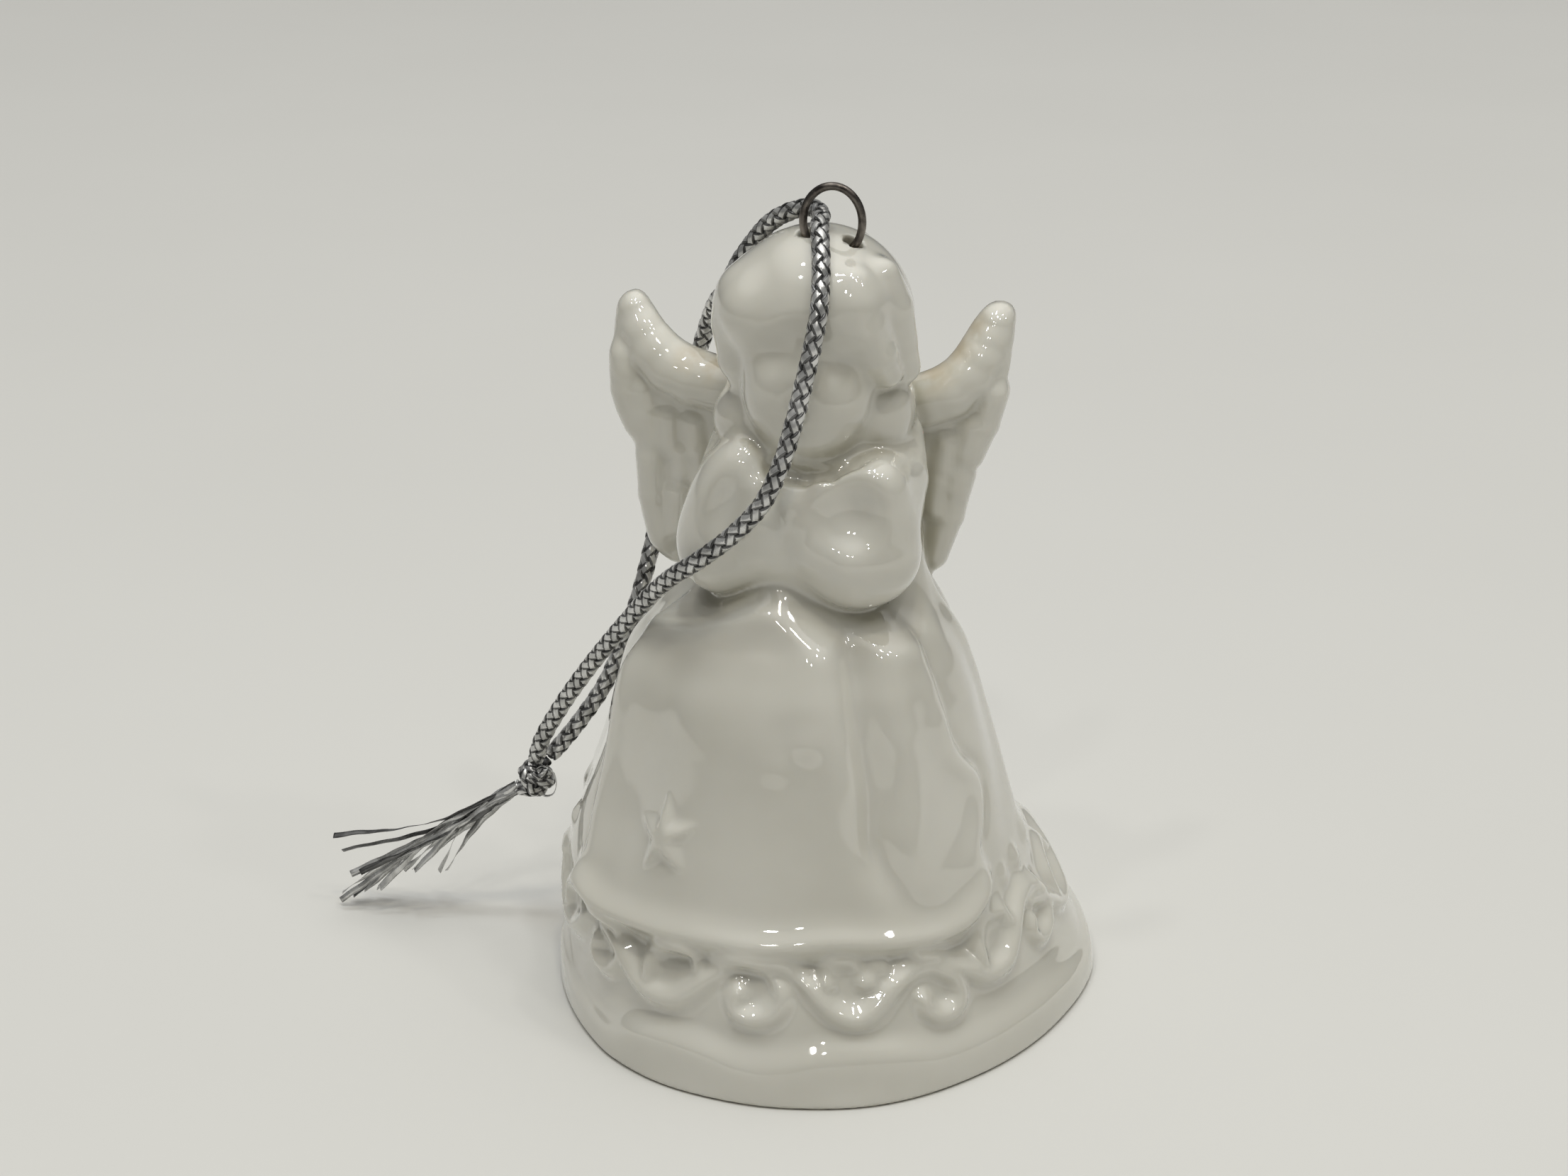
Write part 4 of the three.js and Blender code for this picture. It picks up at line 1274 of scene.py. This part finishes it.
def porcelain_finish(name, light, deep):
    """Clear glossy glaze over an off-white body: darker and warmer in the hollows, a little as pooled glaze
    but mostly as painted shade; faintly uneven.
    """
    finish = Finish(name, Roughness=0.05, IOR=1.55, Subsurface_Weight=0.12, Subsurface_Scale=0.0012,
                    Subsurface_Radius=(1.0, 0.8, 0.55), Coat_Weight=1.0, Coat_Roughness=0.02)
    cloud = finish.step(finish.noise(70.0, 3.0), 0.3, 0.7)
    colour = finish.mix(finish.times(cloud, 0.3), light, deep)
    # painted shade: the more sunk a point is, the nearer its colour goes to the deep tone
    painted_hollow_shade = finish.step(finish.attribute("recess"), 0.06, 0.66)
    colour = finish.mix(painted_hollow_shade, colour, deep)
    patchiness = finish.step(finish.noise(900.0, 4.0, 0.65), 0.42, 0.66)
    dust = finish.times(patchiness, finish.step(finish.attribute("recess"), 0.4, 1.1, 0.0, 0.35))
    colour = finish.mix(dust, colour, (0.42, 0.39, 0.32))
    patch = finish.step(finish.noise(420.0, 3.0, 0.6), 0.2, 0.6)
    tan = finish.times(finish.nearest(TAN_MARKS), patch)
    colour = finish.mix(finish.times(tan, 0.85), colour, (0.54, 0.46, 0.32))
    # darker, in patches, round the two holes where the ring goes into the crown
    marked = finish.times(finish.nearest(HOLE_MARKS), patchiness)
    colour = finish.mix(finish.times(marked, 0.9), colour, (0.13, 0.11, 0.09))
    cells = finish.node("TexVoronoi", {"Vector": finish.place, "Scale": 240.0}, feature="F1")
    chance = finish.node("SeparateColor", {0: cells.outputs["Color"]}).outputs[0]
    rare = finish.math("GREATER_THAN", chance, 0.88)
    dot = finish.times(finish.step(cells.outputs["Distance"], 0.03, 0.015), rare)
    colour = finish.mix(finish.times(dot, 0.35), colour, (0.36, 0.31, 0.25))
    rough = finish.step(finish.noise(260.0, 3.0), 0.3, 0.7, 0.03, 0.07)
    wave = finish.bump(finish.noise(330.0, 1.0), 0.00004, 0.5)
    # the edge that it stands on in the kiln is wiped clean of glaze: bare, matt and slightly grey
    height = finish.node("SeparateXYZ", {0: finish.place}).outputs["Z"]
    bare = finish.step(height, FOOT_TOP * MM, FOOT_TOP / 3 * MM)
    colour = finish.mix(finish.times(bare, 0.8), colour, (0.60, 0.57, 0.50))
    rough = finish.math("MAXIMUM", rough, finish.times(bare, 0.6))
    coat = finish.math("SUBTRACT", 1.0, bare)
    return finish.wire(Base_Color=colour, Roughness=rough, Coat_Weight=coat, Normal=wave)


PORCELAIN = porcelain_finish("glazed_porcelain", (0.76, 0.745, 0.675), (0.53, 0.51, 0.42))
BEAD_PORCELAIN = porcelain_finish("bead_glaze", (0.78, 0.765, 0.70), (0.66, 0.63, 0.55))


def mark_recesses(piece, distance, points, normals):
    """Stores how sunk each point is: how much nearer the casting is, a little way out, than it would be."""
    depth = np.zeros(len(points))
    for reach in (0.6, 1.5):
        depth += 0.5 * np.clip(1 - field(distance, points + normals * reach) / reach, 0, 1)
    attribute = piece.data.attributes.new("recess", "FLOAT", "POINT")
    attribute.data.foreach_set("value", depth.astype(np.float32))


def make_figure():
    """The whole casting as one mesh."""
    low, high = box_mm("bell_body")
    points, quads = surface_mesh(figure, low - COARSE * VOXEL, high + COARSE * VOXEL)
    points, normals = settled(figure, points, quads)
    piece = new_piece("porcelain_angel", points, quads, [PORCELAIN], "figure", normals=normals)
    mark_recesses(piece, figure, points, normals)
    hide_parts("bell_body")


make_figure()

# ---------------------------------------------------------------- ring, link and clapper


def wire_finish(name, light, dark, marked):
    """Drawn wire: fine lines along it, darker in patches where it has oxidised."""
    finish = Finish(name, Metallic=1.0, Roughness=0.35)
    patch = finish.step(finish.noise(520.0, 4.0, 0.6), 0.35, 0.65)
    colour = finish.mix(patch, dark, light)
    rub = finish.step(finish.noise(2400.0, 3.0, 0.65), 0.56, 0.74)
    colour = finish.mix(finish.times(rub, 0.4), colour, marked)
    rough = finish.step(finish.noise(1300.0, 3.0), 0.3, 0.7, 0.26, 0.48)
    pits = finish.bump(finish.noise(4200.0, 3.0, 0.6), 0.00002, 0.6)
    return finish.wire(Base_Color=colour, Roughness=rough, Normal=pits)


OXIDISED = wire_finish("oxidised_wire", (0.26, 0.235, 0.21), (0.085, 0.075, 0.068), (0.42, 0.38, 0.33))
STEEL = wire_finish("steel_wire", (0.52, 0.51, 0.49), (0.30, 0.29, 0.28), (0.66, 0.65, 0.62))


def make_ring():
    """The hanging ring, as it goes into the crown and closes below it."""
    points, faces = tube(RING_LINE, RING_WIRE / 2, 22)
    ring = new_piece("wire_ring", points, faces, [OXIDISED], "ring")
    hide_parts("hanging_ring")


def make_link():
    """A long wire loop across the ring's foot, its ends butted in one straight side."""
    low, high = box_mm("clapper_link")
    wire = high[0] - low[0]
    x, y = (low[0] + high[0]) / 2, (low[1] + high[1]) / 2
    arc = (high[1] - low[1] - wire) / 2
    top, foot = high[2] - wire / 2 - arc, low[2] + wire / 2 + arc
    middle = (top + foot) / 2
    line = [(x, y + arc, middle + 0.1), (x, y + arc, middle + 1.2)]
    line += bend((x, y, top), arc, arc, range(0, 181, 20), axis=1)
    line += bend((x, y, foot), arc, arc, range(180, 361, 20), axis=1)
    line += [(x, y + arc, middle - 1.2), (x, y + arc, middle - 0.1)]
    points, faces = tube(smooth_path(line, 0.1), wire / 2, 16)
    link = new_piece("clapper_wire_link", points, faces, [STEEL], "link")
    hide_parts("clapper_link")


def make_clapper():
    """The clapper's wire, with an eye at its top and a foot turned under the bead."""
    low, high = box_mm("clapper_wire")
    bead_low, bead_high = box_mm("clapper_bead")
    wire = high[1] - low[1]
    x, y = (bead_low[0] + bead_high[0]) / 2, (bead_low[1] + bead_high[1]) / 2
    arc = x - low[0] - wire / 2
    eye, foot = high[2] - wire / 2 - arc, low[2] + wire / 2
    line = bend((x, y, eye), arc, arc, range(-15, 241, 17))
    line += [(x - 0.08, y, eye - 1.0)] + [(x, y, z) for z in (eye - 2.2, 40, 30, 20, 12, foot + 1.2)]
    line += [(x + 0.1, y, foot + 0.45), (x + 0.45, y, foot + 0.1), (x + 1.0, y, foot), (x + 1.9, y, foot)]
    points, faces = tube(smooth_path(line, 0.12), wire / 2, 16)
    clapper = new_piece("clapper_hooked_wire", points, faces, [STEEL], "clapper")
    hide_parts("clapper_wire")


BEAD_BORE = 0.45                 # radius of the hole through the bead
BEAD_LIP = 0.16                  # width of the rounded edge of that hole


def bead_profile(radius):
    """The bead's section as (radius, height): up its bore, over the lip and down its round outside."""
    start = math.degrees(math.asin((BEAD_BORE + BEAD_LIP) / radius))
    profile = [(BEAD_BORE, z) for z in np.linspace(-radius * 0.93, radius * 0.93, 9)]
    profile.append((BEAD_BORE + 0.04, radius * 0.965))
    for angle in np.radians(np.linspace(start, 180 - start, 40)):
        profile.append((radius * math.sin(angle), radius * math.cos(angle)))
    profile.append((BEAD_BORE + 0.04, -radius * 0.965))
    return profile


def make_bead():
    """The glazed bead on the clapper's wire."""
    low, high = box_mm("clapper_bead")
    x, y, middle = (low + high) / 2
    angles = -np.linspace(0, 2 * math.pi, 64, endpoint=False)
    rings = np.array([[(x + r * math.cos(a), y + r * math.sin(a), middle + z) for a in angles]
                      for r, z in bead_profile((high[0] - low[0]) / 2)])
    points, faces = skin(rings, closed=True)
    bead = new_piece("clapper_glazed_bead", points, faces, [BEAD_PORCELAIN], "clapper")
    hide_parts("clapper_bead")


make_ring()
make_link()
make_clapper()
make_bead()

# ---------------------------------------------------------------- the studio


FLOOR_REACH = 3.0                # metres, from the middle to each side
LAMP_HEIGHT = 1.1                # metres, of the small lamps
SPOTS = [(-0.27, -0.08), (-0.32, -0.42), (0.45, -0.12), (0.42, -0.42), (0.9, -0.24), (-0.12, -0.85),
         (0.1, -0.92)]
LIT = (0, 0, 0.03)               # metres: what the lamps point at


def make_floor():
    """The pale table that it stands on."""
    finish = Finish("pale_floor", Roughness=0.6)
    cloud = finish.noise(14.0, 3.0)
    finish.wire(Base_Color=finish.mix(cloud, (0.72, 0.715, 0.685), (0.76, 0.755, 0.725)))
    mesh = bpy.data.meshes.new("floor")
    corners = [(x * FLOOR_REACH, y * FLOOR_REACH, 0) for x, y in ((-1, -1), (1, -1), (1, 1), (-1, 1))]
    mesh.from_pydata(corners, [], [(0, 1, 2, 3)])
    mesh.materials.append(finish.material)
    floor = bpy.data.objects.new("floor", mesh)
    bpy.context.scene.collection.objects.link(floor)


def lamp(name, place, size, power, colour=(1, 1, 1), long_side=None, spread=180):
    """A rectangular lamp, or a disc if it has no long side, turned to the figure."""
    light = bpy.data.lights.new(name, "AREA")
    light.energy, light.color, light.size, light.shape = power, colour, size, "DISK"
    light.spread = math.radians(spread)
    if long_side:
        light.shape, light.size_y = "RECTANGLE", long_side
    lamp_object = bpy.data.objects.new(name, light)
    bpy.context.scene.collection.objects.link(lamp_object)
    lamp_object.location = place
    lamp_object.rotation_euler = (Vector(LIT) - Vector(place)).to_track_quat("-Z", "Y").to_euler()


def make_lights():
    """A dim room, a soft ceiling and the small lamps whose glints show in the glaze."""
    world = bpy.data.worlds.new("studio")
    world.use_nodes = True
    background = world.node_tree.nodes["Background"]
    background.inputs["Color"].default_value = (0.95, 0.97, 1.0, 1)
    background.inputs["Strength"].default_value = 0.07
    bpy.context.scene.world = world
    bpy.context.scene.view_settings.view_transform = "Standard"
    # its spread makes the ceiling fade out towards its edge, so that no edge of it shows in the glaze
    lamp("soft_ceiling", (0.05, 0.25, 1.3), 3.0, 9.6, (1.0, 0.985, 0.95), spread=100)
    # small bright lamps overhead, for the crisp glints that a glaze shows
    lamp("strip", (0.0, -0.05, LAMP_HEIGHT), 0.055, 1.5, (0.85, 0.93, 1.0), 0.24)
    lamp("warm", (0.15, -0.3, LAMP_HEIGHT), 0.11, 1.1, (1.0, 0.93, 0.76))
    for x, y in SPOTS:
        lamp("spot", (x, y, LAMP_HEIGHT), 0.074, 0.62, (1.0, 0.98, 0.93))


make_floor()
make_lights()
